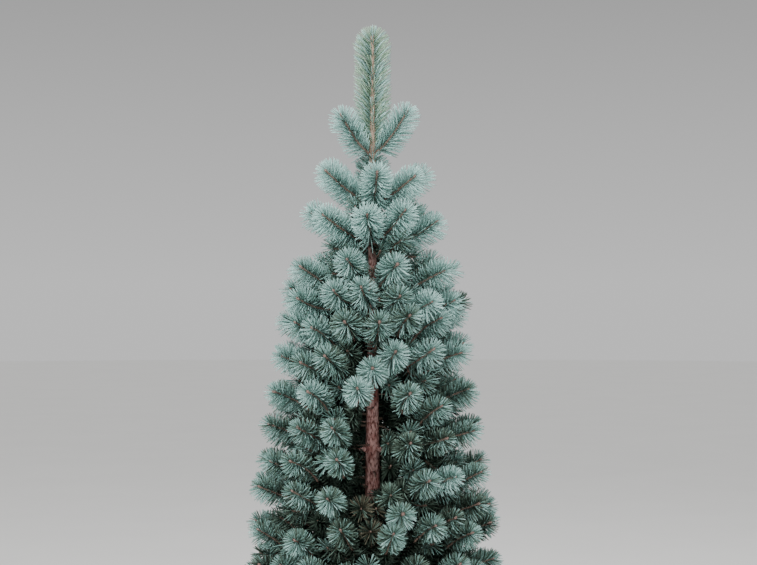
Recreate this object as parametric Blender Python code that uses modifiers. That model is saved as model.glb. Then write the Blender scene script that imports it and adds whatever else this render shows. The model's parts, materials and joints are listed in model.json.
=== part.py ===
"""Potted blue spruce: a slim young spruce in a plain terracotta pot.

The trunk runs whole from the soil to the leader's tip. Whorls of branches stand round it. In the
upper whorls each branch is one shoot or a small fan of shoots that springs from the trunk, and in
the lower whorls a bough carries the fan. A fan is one foliage mass: its twigs fork off one stem and
end in shoots whose needles are drawn out of the faces of a slim core. Everything is in metres, +Z is
up, the front of the plant faces -Y and the origin is the middle of the pot's underside.
"""

import math
import random
from collections import namedtuple

import bmesh
import bpy
from mathutils import Vector
from mathutils.kdtree import KDTree

# Clear distance between two pieces that meet.
GAP = 0.0003

# Pot and soil.
POT_HEIGHT = 0.250
POT_FOOT_RADIUS = 0.096
POT_SHOULDER_RADIUS = 0.134
POT_RIM_RADIUS = 0.148
POT_RIM_HEIGHT = 0.044
POT_WALL = 0.009
POT_FLOOR = 0.014
POT_SIDES = 28
POT_EDGE = 0.003
DRAIN_RADIUS = 0.008
DRAIN_RING_RADIUS = 0.055
DRAIN_COUNT = 3
SOIL_TOP = 0.225
SOIL_EDGE_DROP = 0.006

# Plant: heights are given as depths below the tip of the leader's needles.
TIP_HEIGHT = 1.030
TRUNK_TOP_DEPTH = 0.014
TRUNK_TIP_RADIUS = 0.0011
TRUNK_TAPER = 0.0145
FLARE_RADIUS = 0.008
FLARE_HEIGHT = 0.035
TRUNK_SIDES = 12
TRUNK_LENGTH = 0.020

# Reach of the shoot tips from the trunk's axis, by depth.
REACH_GROWTH = 0.222
REACH_START = 0.026
REACH_MAX = 0.148
SKIRT_DEPTH = 0.700
SKIRT_DRAW_IN = 0.34

# Steepness of the shoots above the horizontal: high at the top, settling further down.
SHOOT_RISE_LOW = math.radians(22)
SHOOT_RISE_GAIN = math.radians(38)
SHOOT_RISE_DEPTH = 0.113
SHOOT_RISE_FADE = 0.080

# Branches. A fan's stem ends at a share of the crown's reach, a little lower than its tips, and the
# bough makes the first share of that stem's curve. Twigs fork off between two shares of the stem.
SHOOT_LENGTH = 0.052
FAN_REACH = 0.60
FAN_DROP = 0.028
BOUGH_END = 0.60
BOUGH_ROOT_RADIUS = 0.0048
STEM_RADIUS = 0.0030
STEM_END_RADIUS = 0.0021
TWIG_RADIUS = 0.0012
CORE_RADIUS = 0.0042
THINNEST_RADIUS = 0.0006
FIRST_FORK = 0.24
LAST_FORK = 0.96
FORK_HEIGHT_WEIGHT = 0.6
PATH_STEPS = 12

# Unevenness of growth: each shoot and each fan departs from its even place by up to this much.
# A single shoot's azimuth departs as if its neighbours stood this many radians away.
UNEVEN_AZIMUTH = 0.25
UNEVEN_DEPTH = 0.010
UNEVEN_FAN_DEPTH = 0.010
REACH_SHORTFALL = 0.006
REACH_EXCESS = 0.004
UNEVEN_RISE = math.radians(6)
ROW_STAGGER = 0.2
SINGLE_SPREAD = 0.4

# Needles. Each is tried at full length and then at ever smaller shares of it.
NEEDLE_LENGTH = 0.0225
NEEDLE_LEAN = math.radians(32)
END_NEEDLE_LEAN = math.radians(58)
NEEDLE_TRIALS = (1.0, 0.8, 0.62, 0.46)
NEEDLES_END = 0.94
SINGLE_NEEDLES_START = 0.16
SINGLE_BANDS = 3
FAN_BANDS = 2
FAN_THINNING = 4
SPRAY_SIDES = 4
STEM_SIDES = 5
SPACE_MARGIN = 0.0016
LIMB_MARGIN = 0.0016
SAMPLE_SPACING = 0.002

# The leader: its needles stand round the trunk's top between two depths.
LEADER_DEPTHS = (0.154, 0.010)
LEADER_BANDS = 7
LEADER_SIDES = 6
LEADER_CORE_RADIUS = 0.0058

# A whorl leaves the trunk at one depth. Each row is the depth of its shoot tips and the number of
# shoots by which it differs from a mass's columns. Each mass is an azimuth in degrees, 0 at the
# front and positive to the right, and its columns of shoots. The seed sets how unevenly it grew.
Whorl = namedtuple("Whorl", "name depth rows masses bough seed")
WHORLS = (
    Whorl("top", 0.162, ((0.113, 0),), ((-66, 1), (68, 1), (180, 1)), False, 3179),
    Whorl("second", 0.226, ((0.183, 0),),
          ((-54, 1), (3, 1), (46, 1), (108, 1), (170, 1), (-122, 1)), False, 4395),
    Whorl("third", 0.278, ((0.238, 0),),
          ((-50, 1), (-3, 1), (30, 1), (82, 1), (134, 1), (-170, 1), (-108, 1)), False, 852),
    Whorl("fourth", 0.345, ((0.292, 0), (0.330, 1)),
          ((-75, 2), (-3, 2), (69, 2), (141, 2), (-147, 2)), False, 3674),
    Whorl("fifth", 0.435, ((0.370, 0), (0.415, 0)),
          ((-42, 3), (2, 1), (44, 3), (115, 3), (180, 3), (-115, 3)), False, 241),
    Whorl("sixth", 0.530, ((0.462, 0), (0.505, 0)),
          ((-44, 3), (44, 3), (134, 4), (-134, 4)), True, 7674),
    Whorl("seventh", 0.615, ((0.545, 0), (0.585, 0)),
          ((-44, 3), (44, 3), (115, 3), (180, 3), (-115, 3)), True, 3244),
    Whorl("eighth", 0.700, ((0.628, 0), (0.674, 1), (0.720, 1)),
          ((0, 3), (72, 3), (144, 3), (-144, 3), (-72, 3)), True, 17875),
)

Shoot = namedtuple("Shoot", "path needles_from")
Mass = namedtuple("Mass", "name stem shoots bough")


# ---------------------------------------------------------------- skeleton of the plant

def trunk_radius(depth):
    """Radius of the trunk at a depth below the tip, with the root flare at the soil."""
    height = TIP_HEIGHT - depth - SOIL_TOP
    flare = FLARE_RADIUS * max(0.0, 1.0 - height / FLARE_HEIGHT) ** 2
    return TRUNK_TIP_RADIUS + TRUNK_TAPER * (depth - TRUNK_TOP_DEPTH) + flare


def crown_reach(depth):
    """Distance of the shoot tips from the trunk's axis at a depth below the tip."""
    reach = min(REACH_GROWTH * math.sqrt(depth) - REACH_START, REACH_MAX)
    return reach - SKIRT_DRAW_IN * max(0.0, depth - SKIRT_DEPTH)


def shoot_rise(depth):
    """Angle of a shoot above the horizontal."""
    return SHOOT_RISE_LOW + SHOOT_RISE_GAIN * math.exp((SHOOT_RISE_DEPTH - depth) / SHOOT_RISE_FADE)


def place(azimuth, reach, depth):
    """Point at an azimuth, a distance from the trunk's axis and a depth below the tip."""
    return Vector((reach * math.sin(azimuth), -reach * math.cos(azimuth), TIP_HEIGHT - depth))


def bend(start, control, end, share):
    """Point on the quadratic curve from start to end that leaves towards the control point."""
    rest = 1.0 - share
    return start * (rest * rest) + control * (2.0 * rest * share) + end * (share * share)


def bent_path(start, control, end, first=0.0, last=1.0):
    """Even points along part of a quadratic curve."""
    return [bend(start, control, end, first + (last - first) * step / PATH_STEPS)
            for step in range(PATH_STEPS + 1)]


def share_clear_of_trunk(start, control, end, radius):
    """Share of a branch's curve at which its blunt root stands clear of the trunk."""
    steps = 2000
    for step in range(1, steps):
        share = step / steps
        point = bend(start, control, end, share)
        tangent = (bend(start, control, end, share + 1.0 / steps) - point).normalized()
        surface = trunk_radius(TIP_HEIGHT - point.z) + GAP
        if math.hypot(point.x, point.y) >= surface + radius * abs(tangent.z):
            return share
    raise ValueError("a branch never leaves the trunk")


def grow_shoot(rng, root, azimuth, depth, spread):
    """Curved path of one shoot from its root to its tip, with the seeded unevenness of growth."""
    azimuth += rng.uniform(-UNEVEN_AZIMUTH, UNEVEN_AZIMUTH) * spread
    depth += rng.uniform(-UNEVEN_DEPTH, UNEVEN_DEPTH)
    reach = crown_reach(depth) + rng.uniform(-REACH_SHORTFALL, REACH_EXCESS)
    rise = shoot_rise(depth) + rng.uniform(-UNEVEN_RISE, UNEVEN_RISE)
    tip = place(azimuth, reach, depth)
    level = math.cos(rise)
    heading = Vector((level * math.sin(azimuth), -level * math.cos(azimuth), math.sin(rise)))
    return root, tip - heading * SHOOT_LENGTH, tip


def middle_depth(whorl):
    """Mean depth of a whorl's rows of tips."""
    return sum(depth for depth, _ in whorl.rows) / len(whorl.rows)


def fan_shoots(rng, whorl, azimuth, columns, stem):
    """Shoots of one mass: rows of columns over its own sector, the outer ones forking off first."""
    lift = rng.uniform(-UNEVEN_FAN_DEPTH, UNEVEN_FAN_DEPTH)
    total = sum(count for _, count in whorl.masses)
    sector = 2.0 * math.pi * columns / total
    middle = middle_depth(whorl)
    half_height = whorl.rows[-1][0] - middle + 2.0 * UNEVEN_DEPTH
    shoots = []
    for row, (depth, extra) in enumerate(whorl.rows):
        count = columns + extra
        step = sector / count
        stagger = ROW_STAGGER * step * (-1) ** row if columns > 2 else 0.0
        for column in range(count):
            aside = (column - (count - 1) / 2.0) * step + stagger
            away = FORK_HEIGHT_WEIGHT * (depth - middle) / half_height
            offset = min(1.0, math.hypot(2.0 * aside / sector, away))
            fork = LAST_FORK - (LAST_FORK - FIRST_FORK) * offset
            root = stem[round(fork * PATH_STEPS)]
            path = bent_path(*grow_shoot(rng, root, azimuth + aside, depth + lift, step))
            shoots.append(Shoot(path, max(0.0, 1.0 - SHOOT_LENGTH / path_length(path))))
    return shoots


def path_length(path):
    """Length of a chain of points."""
    return sum((b - a).length for a, b in zip(path, path[1:]))


def grow_single(rng, name, whorl, azimuth):
    """Mass of one long shoot that springs from the trunk."""
    start = place(azimuth, 0.0, whorl.depth)
    curve = grow_shoot(rng, start, azimuth, whorl.rows[0][0], SINGLE_SPREAD)
    first = share_clear_of_trunk(*curve, TWIG_RADIUS)
    return Mass(name, None, [Shoot(bent_path(*curve, first=first), SINGLE_NEEDLES_START)], None)


def grow_fan(rng, name, whorl, azimuth, columns):
    """Mass of several shoots on one stem, which springs from the trunk or goes on from a bough."""
    reach = FAN_REACH * crown_reach(middle_depth(whorl))
    curve = (place(azimuth, 0.0, whorl.depth),
             place(azimuth, 0.5 * reach, whorl.depth),
             place(azimuth, reach, middle_depth(whorl) + FAN_DROP))
    first = share_clear_of_trunk(*curve, BOUGH_ROOT_RADIUS)
    bough = None
    if whorl.bough:
        bough = bent_path(*curve, first=first, last=BOUGH_END)
        first = BOUGH_END + GAP / path_length(bent_path(*curve))
    stem = bent_path(*curve, first=first)
    return Mass(name, stem, fan_shoots(rng, whorl, azimuth, columns, stem), bough)


def grow_plant():
    """Every mass of the plant, with the path of its bough where it has one."""
    masses = []
    for whorl in WHORLS:
        rng = random.Random(whorl.seed)
        for number, (degrees, columns) in enumerate(whorl.masses, start=1):
            name = f"{whorl.name}_{number}"
            azimuth = math.radians(degrees)
            if len(whorl.rows) == 1:
                masses.append(grow_single(rng, name, whorl, azimuth))
            else:
                masses.append(grow_fan(rng, name, whorl, azimuth, columns))
    return masses


# ---------------------------------------------------------------- room for the needles

class Room:
    """Tells how much room there is round a point before another shoot or limb is in the way.

    A shoot is given as its path and the name of its mass, and a limb as its path, its radius and
    the name of the mass that grows on it, or None for the trunk.
    """

    def __init__(self, shoots, limbs):
        self.shoot_tree, self.owners = self.sample([path for path, _ in shoots])
        self.shoot_masses = [mass for _, mass in shoots]
        self.limb_tree, self.limb_owners = self.sample([path for path, _, _ in limbs])
        self.limb_radii = [radius for _, radius, _ in limbs]
        self.limb_masses = [mass for _, _, mass in limbs]
        self.widest = max(self.limb_radii)

    def sample(self, paths):
        """Points close together along each path, and the path that each belongs to."""
        points = []
        owners = []
        for owner, path in enumerate(paths):
            for a, b in zip(path, path[1:]):
                count = max(1, round((b - a).length / SAMPLE_SPACING))
                points += [a.lerp(b, step / count) for step in range(count + 1)]
                owners += [owner] * (count + 1)
        tree = KDTree(len(points))
        for index, point in enumerate(points):
            tree.insert(point, index)
        tree.balance()
        return tree, owners

    def is_free(self, point, owner, own_distance):
        """True where the point lies nearer to its own shoot than to another, clear of the limbs."""
        for _, index, _ in self.shoot_tree.find_range(point, own_distance + SPACE_MARGIN):
            if self.owners[index] != owner:
                return False
        for _, index, distance in self.limb_tree.find_range(point, self.widest + LIMB_MARGIN):
            if distance < self.limb_radii[self.limb_owners[index]] + LIMB_MARGIN:
                return False
        return True

    def clear_radius(self, point, owner, wanted):
        """Largest radius up to the wanted one that leaves other masses their half of the room."""
        own_mass = self.shoot_masses[owner]
        clear = wanted
        for _, index, distance in self.shoot_tree.find_range(point, 2.0 * wanted + SPACE_MARGIN):
            if self.shoot_masses[self.owners[index]] != own_mass:
                clear = min(clear, 0.5 * (distance - SPACE_MARGIN))
        for _, index, distance in self.limb_tree.find_range(point, wanted + self.widest):
            limb = self.limb_owners[index]
            if self.limb_masses[limb] not in (None, own_mass):
                clear = min(clear, distance - self.limb_radii[limb] - SPACE_MARGIN)
        return max(clear, THINNEST_RADIUS)


def distance_to_path(point, path):
    """Distance from a point to a chain of points."""
    nearest = math.inf
    for a, b in zip(path, path[1:]):
        along = b - a
        share = max(0.0, min(1.0, (point - a).dot(along) / along.length_squared))
        nearest = min(nearest, (point - a - along * share).length)
    return nearest


# ---------------------------------------------------------------- building tools

def clear_scene():
    """Remove whatever objects the file opened with."""
    for existing in list(bpy.data.objects):
        bpy.data.objects.remove(existing)


def new_collection(name):
    """Collection linked to the scene."""
    collection = bpy.data.collections.new(name)
    bpy.context.scene.collection.children.link(collection)
    return collection


def new_material(name, colour, roughness):
    """Principled material of a linear colour and a roughness."""
    material = bpy.data.materials.new(name)
    material.use_nodes = True
    shader = material.node_tree.nodes["Principled BSDF"]
    shader.inputs["Base Color"].default_value = (*colour, 1.0)
    shader.inputs["Roughness"].default_value = roughness
    shader.inputs["Metallic"].default_value = 0.0
    return material


def new_object(name, data, collection, material=None):
    """Object of a mesh or a curve in a collection."""
    piece = bpy.data.objects.new(name, data)
    collection.objects.link(piece)
    if material:
        data.materials.append(material)
    return piece


def turned(name, profile, steps, collection, material=None):
    """Turned piece: a profile of radius and height that runs down its outer side, round +Z."""
    mesh = bpy.data.meshes.new(name)
    verts = [(radius, 0.0, height) for radius, height in profile]
    edges = [(index, index + 1) for index in range(len(verts) - 1)]
    mesh.from_pydata(verts, edges, [])
    piece = new_object(name, mesh, collection, material)
    screw = piece.modifiers.new("Turn", "SCREW")
    screw.axis = "Z"
    screw.steps = steps
    screw.render_steps = steps
    screw.use_merge_vertices = True
    screw.merge_threshold = 0.00005
    return piece


def cut(piece, cutter):
    """Boolean difference that stays on the piece."""
    boolean = piece.modifiers.new("Cut", "BOOLEAN")
    boolean.operation = "DIFFERENCE"
    boolean.object = cutter


def hide_cutter(cutter):
    """Mark an object as a guide that isn't part of the plant."""
    cutter.hide_render = True
    cutter.display_type = "WIRE"


def apply_modifiers(piece):
    """Keep the evaluated mesh as the object's own."""
    graph = bpy.context.evaluated_depsgraph_get()
    mesh = bpy.data.meshes.new_from_object(piece.evaluated_get(graph))
    piece.modifiers.clear()
    piece.data = mesh


def point_at(path, share):
    """Point and direction at a share of the way along a path of even steps."""
    along = share * (len(path) - 1)
    index = min(int(along), len(path) - 2)
    a, b = path[index], path[index + 1]
    return a.lerp(b, along - index), (b - a).normalized()


def lay_ring(bm, centre, tangent, radius, sides, turn):
    """Vertices of a ring that is square to a path."""
    facing = tangent.to_track_quat("Z", "Y")
    ring = []
    for side in range(sides):
        angle = turn + 2.0 * math.pi * side / sides
        offset = Vector((radius * math.cos(angle), radius * math.sin(angle), 0.0))
        ring.append(bm.verts.new(centre + facing @ offset))
    return ring


def loft_limb(bm, path, stations, sides, pointed):
    """Skin of triangles over rings along a path, and the station that each triangle starts from.

    Each station is a share of the path and a radius, and each ring is turned by half a side from
    the last. A pointed limb closes on the end of the path, and a blunt one on a flat cap.
    """
    rings = []
    for number, (share, radius) in enumerate(stations):
        centre, tangent = point_at(path, share)
        rings.append(lay_ring(bm, centre, tangent, radius, sides, number * math.pi / sides))
    bm.faces.new(reversed(rings[0]))
    skin = []
    for number, (low, high) in enumerate(zip(rings, rings[1:])):
        for side in range(sides):
            after = (side + 1) % sides
            skin.append((bm.faces.new((low[side], low[after], high[side])), number))
            skin.append((bm.faces.new((low[after], high[after], high[side])), number))
    if pointed:
        apex = bm.verts.new(path[-1])
        last = rings[-1]
        for side in range(sides):
            skin.append((bm.faces.new((last[side], last[(side + 1) % sides], apex)), len(rings) - 1))
    else:
        bm.faces.new(rings[-1])
    return skin


def draw_needle(bm, face, path, share, lean, room, owner):
    """Draw a needle out of a face of a core, as long as its own space allows."""
    root = face.calc_center_median()
    centre, tangent = point_at(path, share)
    outward = root - centre
    outward -= tangent * outward.dot(tangent)
    outward.normalize()
    heading = outward * math.cos(lean) + tangent * math.sin(lean)
    for trial in NEEDLE_TRIALS:
        tip = root + heading * (NEEDLE_LENGTH * trial)
        middle = root.lerp(tip, 0.6)
        if all(room.is_free(point, owner, distance_to_path(point, path)) for point in (middle, tip)):
            needle = bmesh.ops.poke(bm, faces=[face])["verts"][0]
            needle.co = tip
            return


def spray_mesh(name, shoot, bands, sides, core_radius, thinning, room, owner):
    """Closed mesh of one shoot: a bare twig, then a slim core with needles drawn out of it.

    In the lowest band, which the others hide, only one face in the thinning number has a needle.
    """
    path, bare = shoot
    stations = [(0.0, TWIG_RADIUS)] if bare > 0.0 else []
    band_share = (NEEDLES_END - bare) / (bands + 0.6)
    for band in range(bands + 1):
        share = bare + band_share * band
        wanted = core_radius if band < bands else 0.8 * core_radius
        nearby = [point_at(path, max(0.0, share + step * band_share))[0] for step in (-0.5, 0.0, 0.5)]
        stations.append((share, min(room.clear_radius(point, owner, wanted) for point in nearby)))
    bm = bmesh.new()
    skin = loft_limb(bm, path, stations, sides, pointed=True)
    first_band = len(stations) - 1 - bands
    for index, (face, number) in enumerate(skin):
        if number < first_band or (number == first_band and index % thinning):
            continue
        in_tip = number == len(stations) - 1
        lean = END_NEEDLE_LEAN if in_tip else NEEDLE_LEAN
        low = stations[number][0]
        high = 1.0 if in_tip else stations[number + 1][0]
        draw_needle(bm, face, path, (low + high) / 2.0, lean, room, owner)
    mesh = bpy.data.meshes.new(name)
    bm.to_mesh(mesh)
    bm.free()
    return mesh


# ---------------------------------------------------------------- the pieces

def build_pot(collection, cutters, material):
    """Plain terracotta pot with a banded rim and drain holes in its floor."""
    shoulder_height = POT_HEIGHT - POT_RIM_HEIGHT
    inner_foot = POT_FOOT_RADIUS - POT_WALL
    profile = (
        (0.0, POT_FLOOR),
        (inner_foot, POT_FLOOR),
        (POT_SHOULDER_RADIUS - POT_WALL, shoulder_height),
        (POT_RIM_RADIUS - POT_WALL - POT_EDGE, POT_HEIGHT),
        (POT_RIM_RADIUS - POT_EDGE, POT_HEIGHT),
        (POT_RIM_RADIUS, POT_HEIGHT - POT_EDGE),
        (POT_RIM_RADIUS - POT_EDGE, shoulder_height + POT_EDGE),
        (POT_RIM_RADIUS - 2.0 * POT_EDGE, shoulder_height),
        (POT_SHOULDER_RADIUS, shoulder_height),
        (POT_FOOT_RADIUS, POT_EDGE),
        (POT_FOOT_RADIUS - POT_EDGE, 0.0),
        (0.0, 0.0),
    )
    pot = turned("pot", profile, POT_SIDES, collection, material)
    for number in range(DRAIN_COUNT):
        angle = 2.0 * math.pi * (number + 0.5) / DRAIN_COUNT
        centre = (DRAIN_RING_RADIUS * math.sin(angle), -DRAIN_RING_RADIUS * math.cos(angle), 0.0)
        bpy.ops.mesh.primitive_cylinder_add(vertices=12, radius=DRAIN_RADIUS,
                                            depth=4.0 * POT_FLOOR, location=centre)
        drill = bpy.context.object
        drill.name = f"drain_cutter_{number + 1}"
        for home in list(drill.users_collection):
            home.objects.unlink(drill)
        cutters.objects.link(drill)
        hide_cutter(drill)
        cut(pot, drill)
    return pot


def inner_radius(height):
    """Radius of the pot's inside at a height between its floor and its shoulder or rim."""
    shoulder_height = POT_HEIGHT - POT_RIM_HEIGHT
    foot, shoulder = POT_FOOT_RADIUS - POT_WALL, POT_SHOULDER_RADIUS - POT_WALL
    mouth = POT_RIM_RADIUS - POT_WALL - POT_EDGE
    if height < shoulder_height:
        return foot + (shoulder - foot) * (height - POT_FLOOR) / (shoulder_height - POT_FLOOR)
    return shoulder + (mouth - shoulder) * (height - shoulder_height) / POT_RIM_HEIGHT


def build_soil(collection, material):
    """Soil that fills the pot to a little below its rim, level round the trunk."""
    shoulder_height = POT_HEIGHT - POT_RIM_HEIGHT
    edge_height = SOIL_TOP - SOIL_EDGE_DROP
    floor = POT_FLOOR + GAP
    profile = (
        (0.0, SOIL_TOP),
        (0.6 * inner_radius(edge_height), SOIL_TOP),
        (inner_radius(edge_height) - GAP, edge_height),
        (inner_radius(shoulder_height) - GAP, shoulder_height),
        (inner_radius(floor) - GAP, floor),
        (0.0, floor),
    )
    return turned("soil", profile, POT_SIDES, collection, material)


def trunk_profile(offset, foot_depth, top_depth):
    """Profile of the trunk from its tip down, grown outward by an offset."""
    taper_steps = 6
    flare_start = TIP_HEIGHT - SOIL_TOP - FLARE_HEIGHT
    depths = [top_depth + (flare_start - top_depth) * step / taper_steps
              for step in range(taper_steps + 1)]
    depths += [flare_start + FLARE_HEIGHT * share for share in (0.4, 0.75, 1.0)]
    depths = [depth for depth in depths if depth < foot_depth] + [foot_depth]
    profile = [(0.0, TIP_HEIGHT - top_depth)]
    profile += [(trunk_radius(depth) + offset, TIP_HEIGHT - depth) for depth in depths]
    return profile + [(0.0, TIP_HEIGHT - foot_depth)]


def build_trunk(collection, material):
    """The whole trunk, from a flat cut on the soil to the tip inside the leader."""
    foot_depth = TIP_HEIGHT - SOIL_TOP - GAP
    profile = trunk_profile(0.0, foot_depth, TRUNK_TOP_DEPTH)
    return turned("trunk", profile, TRUNK_SIDES, collection, material)


def build_bough(name, path, collection, material):
    """Tapering bough as a bevelled curve, blunt at both ends."""
    curve = bpy.data.curves.new(name, "CURVE")
    curve.dimensions = "3D"
    curve.bevel_depth = 1.0
    curve.bevel_resolution = 1
    curve.use_fill_caps = True
    points = path[::6]
    spline = curve.splines.new("POLY")
    spline.points.add(len(points) - 1)
    for index, point in enumerate(points):
        share = index / (len(points) - 1)
        spline.points[index].co = (*point, 1.0)
        spline.points[index].radius = BOUGH_ROOT_RADIUS + (STEM_RADIUS - BOUGH_ROOT_RADIUS) * share
    return new_object(name, curve, collection, material)


def build_single(mass, owner, room, collection, material):
    """Mass of one long shoot that springs straight from the trunk."""
    shoot = mass.shoots[0]
    mesh = spray_mesh(mass.name, shoot, SINGLE_BANDS, SPRAY_SIDES, CORE_RADIUS, 1, room, owner)
    return new_object("mass_" + mass.name, mesh, collection, material)


def build_fan(mass, owners, room, collection, material):
    """Mass of several shoots: one Boolean union joins them to the stem that they fork off."""
    bm = bmesh.new()
    stations = ((0.0, STEM_RADIUS), (0.5, (STEM_RADIUS + STEM_END_RADIUS) / 2.0),
                (1.0, STEM_END_RADIUS))
    loft_limb(bm, mass.stem, stations, STEM_SIDES, pointed=False)
    mesh = bpy.data.meshes.new(mass.name)
    bm.to_mesh(mesh)
    bm.free()
    stem = new_object("mass_" + mass.name, mesh, collection, material)
    sprays = new_collection("sprays_" + mass.name)
    for owner, shoot in zip(owners, mass.shoots):
        spray = spray_mesh("spray", shoot, FAN_BANDS, SPRAY_SIDES, CORE_RADIUS, FAN_THINNING,
                           room, owner)
        new_object("spray", spray, sprays)
    union = stem.modifiers.new("Join", "BOOLEAN")
    union.operation = "UNION"
    union.operand_type = "COLLECTION"
    union.collection = sprays
    apply_modifiers(stem)
    for spray in list(sprays.objects):
        bpy.data.objects.remove(spray)
    bpy.data.collections.remove(sprays)
    return stem


def leader_path():
    """Upright axis of the leader's needles, from its foot to its tip."""
    foot_depth, top_depth = LEADER_DEPTHS
    return [place(0.0, 0.0, foot_depth + (top_depth - foot_depth) * step / PATH_STEPS)
            for step in range(PATH_STEPS + 1)]


def trunk_lengths():
    """The trunk below the leader as short lengths, each with its widest radius."""
    foot_depth = TIP_HEIGHT - SOIL_TOP
    count = round((foot_depth - LEADER_DEPTHS[0]) / TRUNK_LENGTH)
    length = (foot_depth - LEADER_DEPTHS[0]) / count
    lengths = []
    for number in range(count):
        top = LEADER_DEPTHS[0] + length * number
        path = [place(0.0, 0.0, top), place(0.0, 0.0, top + length)]
        lengths.append((path, trunk_radius(top + length), None))
    return lengths


def build_leader(owner, room, collection, cutters, material):
    """Needles of the leader: a sleeve cut clear of the trunk that it stands round."""
    shoot = Shoot(leader_path(), 0.0)
    mesh = spray_mesh("leader", shoot, LEADER_BANDS, LEADER_SIDES, LEADER_CORE_RADIUS, 1, room, owner)
    leader = new_object("leader_needles", mesh, collection, material)
    foot_depth = LEADER_DEPTHS[0] + 0.01
    clearance = turned("trunk_clearance", trunk_profile(GAP, foot_depth, TRUNK_TOP_DEPTH - GAP),
                       TRUNK_SIDES, cutters)
    hide_cutter(clearance)
    cut(leader, clearance)
    return leader


def main():
    """Build the plant and its pot."""
    clear_scene()
    parts = new_collection("potted_blue_spruce")
    cutters = new_collection("cutters")
    bark = new_material("reddish bark", (0.235, 0.118, 0.082), 0.85)
    needles = new_material("blue needles", (0.150, 0.262, 0.262), 0.55)
    terracotta = new_material("fired clay", (0.445, 0.160, 0.082), 0.80)
    earth = new_material("potting soil", (0.030, 0.018, 0.011), 0.95)

    build_pot(parts, cutters, terracotta)
    build_soil(parts, earth)
    build_trunk(parts, bark)
    masses = grow_plant()
    shoots = [(shoot.path, mass.name) for mass in masses for shoot in mass.shoots]
    shoots.append((leader_path(), "leader"))
    limbs = [(mass.bough, BOUGH_ROOT_RADIUS, mass.name) for mass in masses if mass.bough]
    limbs += [(mass.stem, STEM_RADIUS, mass.name) for mass in masses if mass.stem]
    room = Room(shoots, limbs + trunk_lengths())

    build_leader(len(shoots) - 1, room, parts, cutters, needles)
    first = 0
    for mass in masses:
        owners = range(first, first + len(mass.shoots))
        first += len(mass.shoots)
        if mass.bough:
            build_bough("bough_" + mass.name, mass.bough, parts, bark)
        if mass.stem:
            build_fan(mass, owners, room, parts, needles)
        else:
            build_single(mass, owners[0], room, parts, needles)


main()
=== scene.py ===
"""Potted blue spruce: its bark, twigs, needles, buds, clay pot and soil, built round the part's frame.

The plant grows by the rule of the part's own solids: whorls of branches round one trunk, each branch
a single shoot or a fan of shoots on a stem. Here the rule is carried on to side shoots, older needles
and dead twigs. Everything is in metres, +Z is up and the front of the plant faces -Y.
"""

import functools
import json
import math
import random
from collections import namedtuple

import bpy
import numpy as np
from bpy.props import FloatProperty, FloatVectorProperty, IntProperty, PointerProperty
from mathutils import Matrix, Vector, noise
from mathutils.kdtree import KDTree

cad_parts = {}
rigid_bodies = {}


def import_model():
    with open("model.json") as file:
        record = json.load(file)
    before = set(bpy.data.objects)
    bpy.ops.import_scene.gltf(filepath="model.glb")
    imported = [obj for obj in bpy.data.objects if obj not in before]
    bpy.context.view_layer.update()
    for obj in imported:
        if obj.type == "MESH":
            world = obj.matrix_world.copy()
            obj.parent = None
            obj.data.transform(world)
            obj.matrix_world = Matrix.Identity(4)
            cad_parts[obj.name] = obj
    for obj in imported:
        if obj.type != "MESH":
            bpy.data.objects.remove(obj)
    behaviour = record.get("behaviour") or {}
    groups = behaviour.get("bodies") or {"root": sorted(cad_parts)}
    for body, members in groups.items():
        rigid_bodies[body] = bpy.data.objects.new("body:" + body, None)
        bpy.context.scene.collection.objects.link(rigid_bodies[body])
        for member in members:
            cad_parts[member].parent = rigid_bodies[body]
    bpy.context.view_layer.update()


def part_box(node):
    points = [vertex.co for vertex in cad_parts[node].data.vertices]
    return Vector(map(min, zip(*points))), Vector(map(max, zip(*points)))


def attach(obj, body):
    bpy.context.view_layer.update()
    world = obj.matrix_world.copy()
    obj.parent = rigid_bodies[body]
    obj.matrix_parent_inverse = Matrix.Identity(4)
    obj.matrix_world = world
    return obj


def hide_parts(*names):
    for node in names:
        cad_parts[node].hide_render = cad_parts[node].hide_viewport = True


bl_info = {
    "name": "Potted blue spruce",
    "version": (1, 0, 0),
    "blender": (4, 5, 0),
    "location": "3D View > Sidebar > Blue Spruce",
    "description": "Builds the bark, twigs, needles, buds, pot and soil of a potted blue spruce",
    "category": "Add Mesh",
}

for existing in list(bpy.data.objects):
    bpy.data.objects.remove(existing)
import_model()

# Height of the leader's needle tips, and the heights and widths that the frame gives.
TIP_HEIGHT = 1.030
SOIL_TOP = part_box("soil")[1].z
POT_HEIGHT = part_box("pot")[1].z
POT_RIM_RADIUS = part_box("pot")[1].y

# The plant's rule, with the sizes of its solids. Depths are measured down from the leader's tip.
GAP = 0.0003
TRUNK_TOP_DEPTH = 0.014
TRUNK_TIP_RADIUS = 0.0011
TRUNK_TAPER = 0.0145
FLARE_RADIUS = 0.008
FLARE_HEIGHT = 0.035
REACH_GROWTH = 0.222
REACH_START = 0.026
REACH_MAX = 0.148
SKIRT_DEPTH = 0.700
SKIRT_DRAW_IN = 0.34
SHOOT_RISE_LOW = math.radians(22)
SHOOT_RISE_GAIN = math.radians(38)
SHOOT_RISE_DEPTH = 0.113
SHOOT_RISE_FADE = 0.080
SHOOT_LENGTH = 0.052
FAN_REACH = 0.60
FAN_DROP = 0.028
BOUGH_END = 0.60
BOUGH_ROOT_RADIUS = 0.0048
STEM_END_RADIUS = 0.0021
TWIG_RADIUS = 0.0012
FIRST_FORK = 0.24
LAST_FORK = 0.96
FORK_HEIGHT_WEIGHT = 0.6
PATH_STEPS = 12
CLEARING_STEPS = 2000
UNEVEN_AZIMUTH = 0.25
UNEVEN_DEPTH = 0.010
UNEVEN_FAN_DEPTH = 0.010
REACH_SHORTFALL = 0.006
REACH_EXCESS = 0.004
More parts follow.
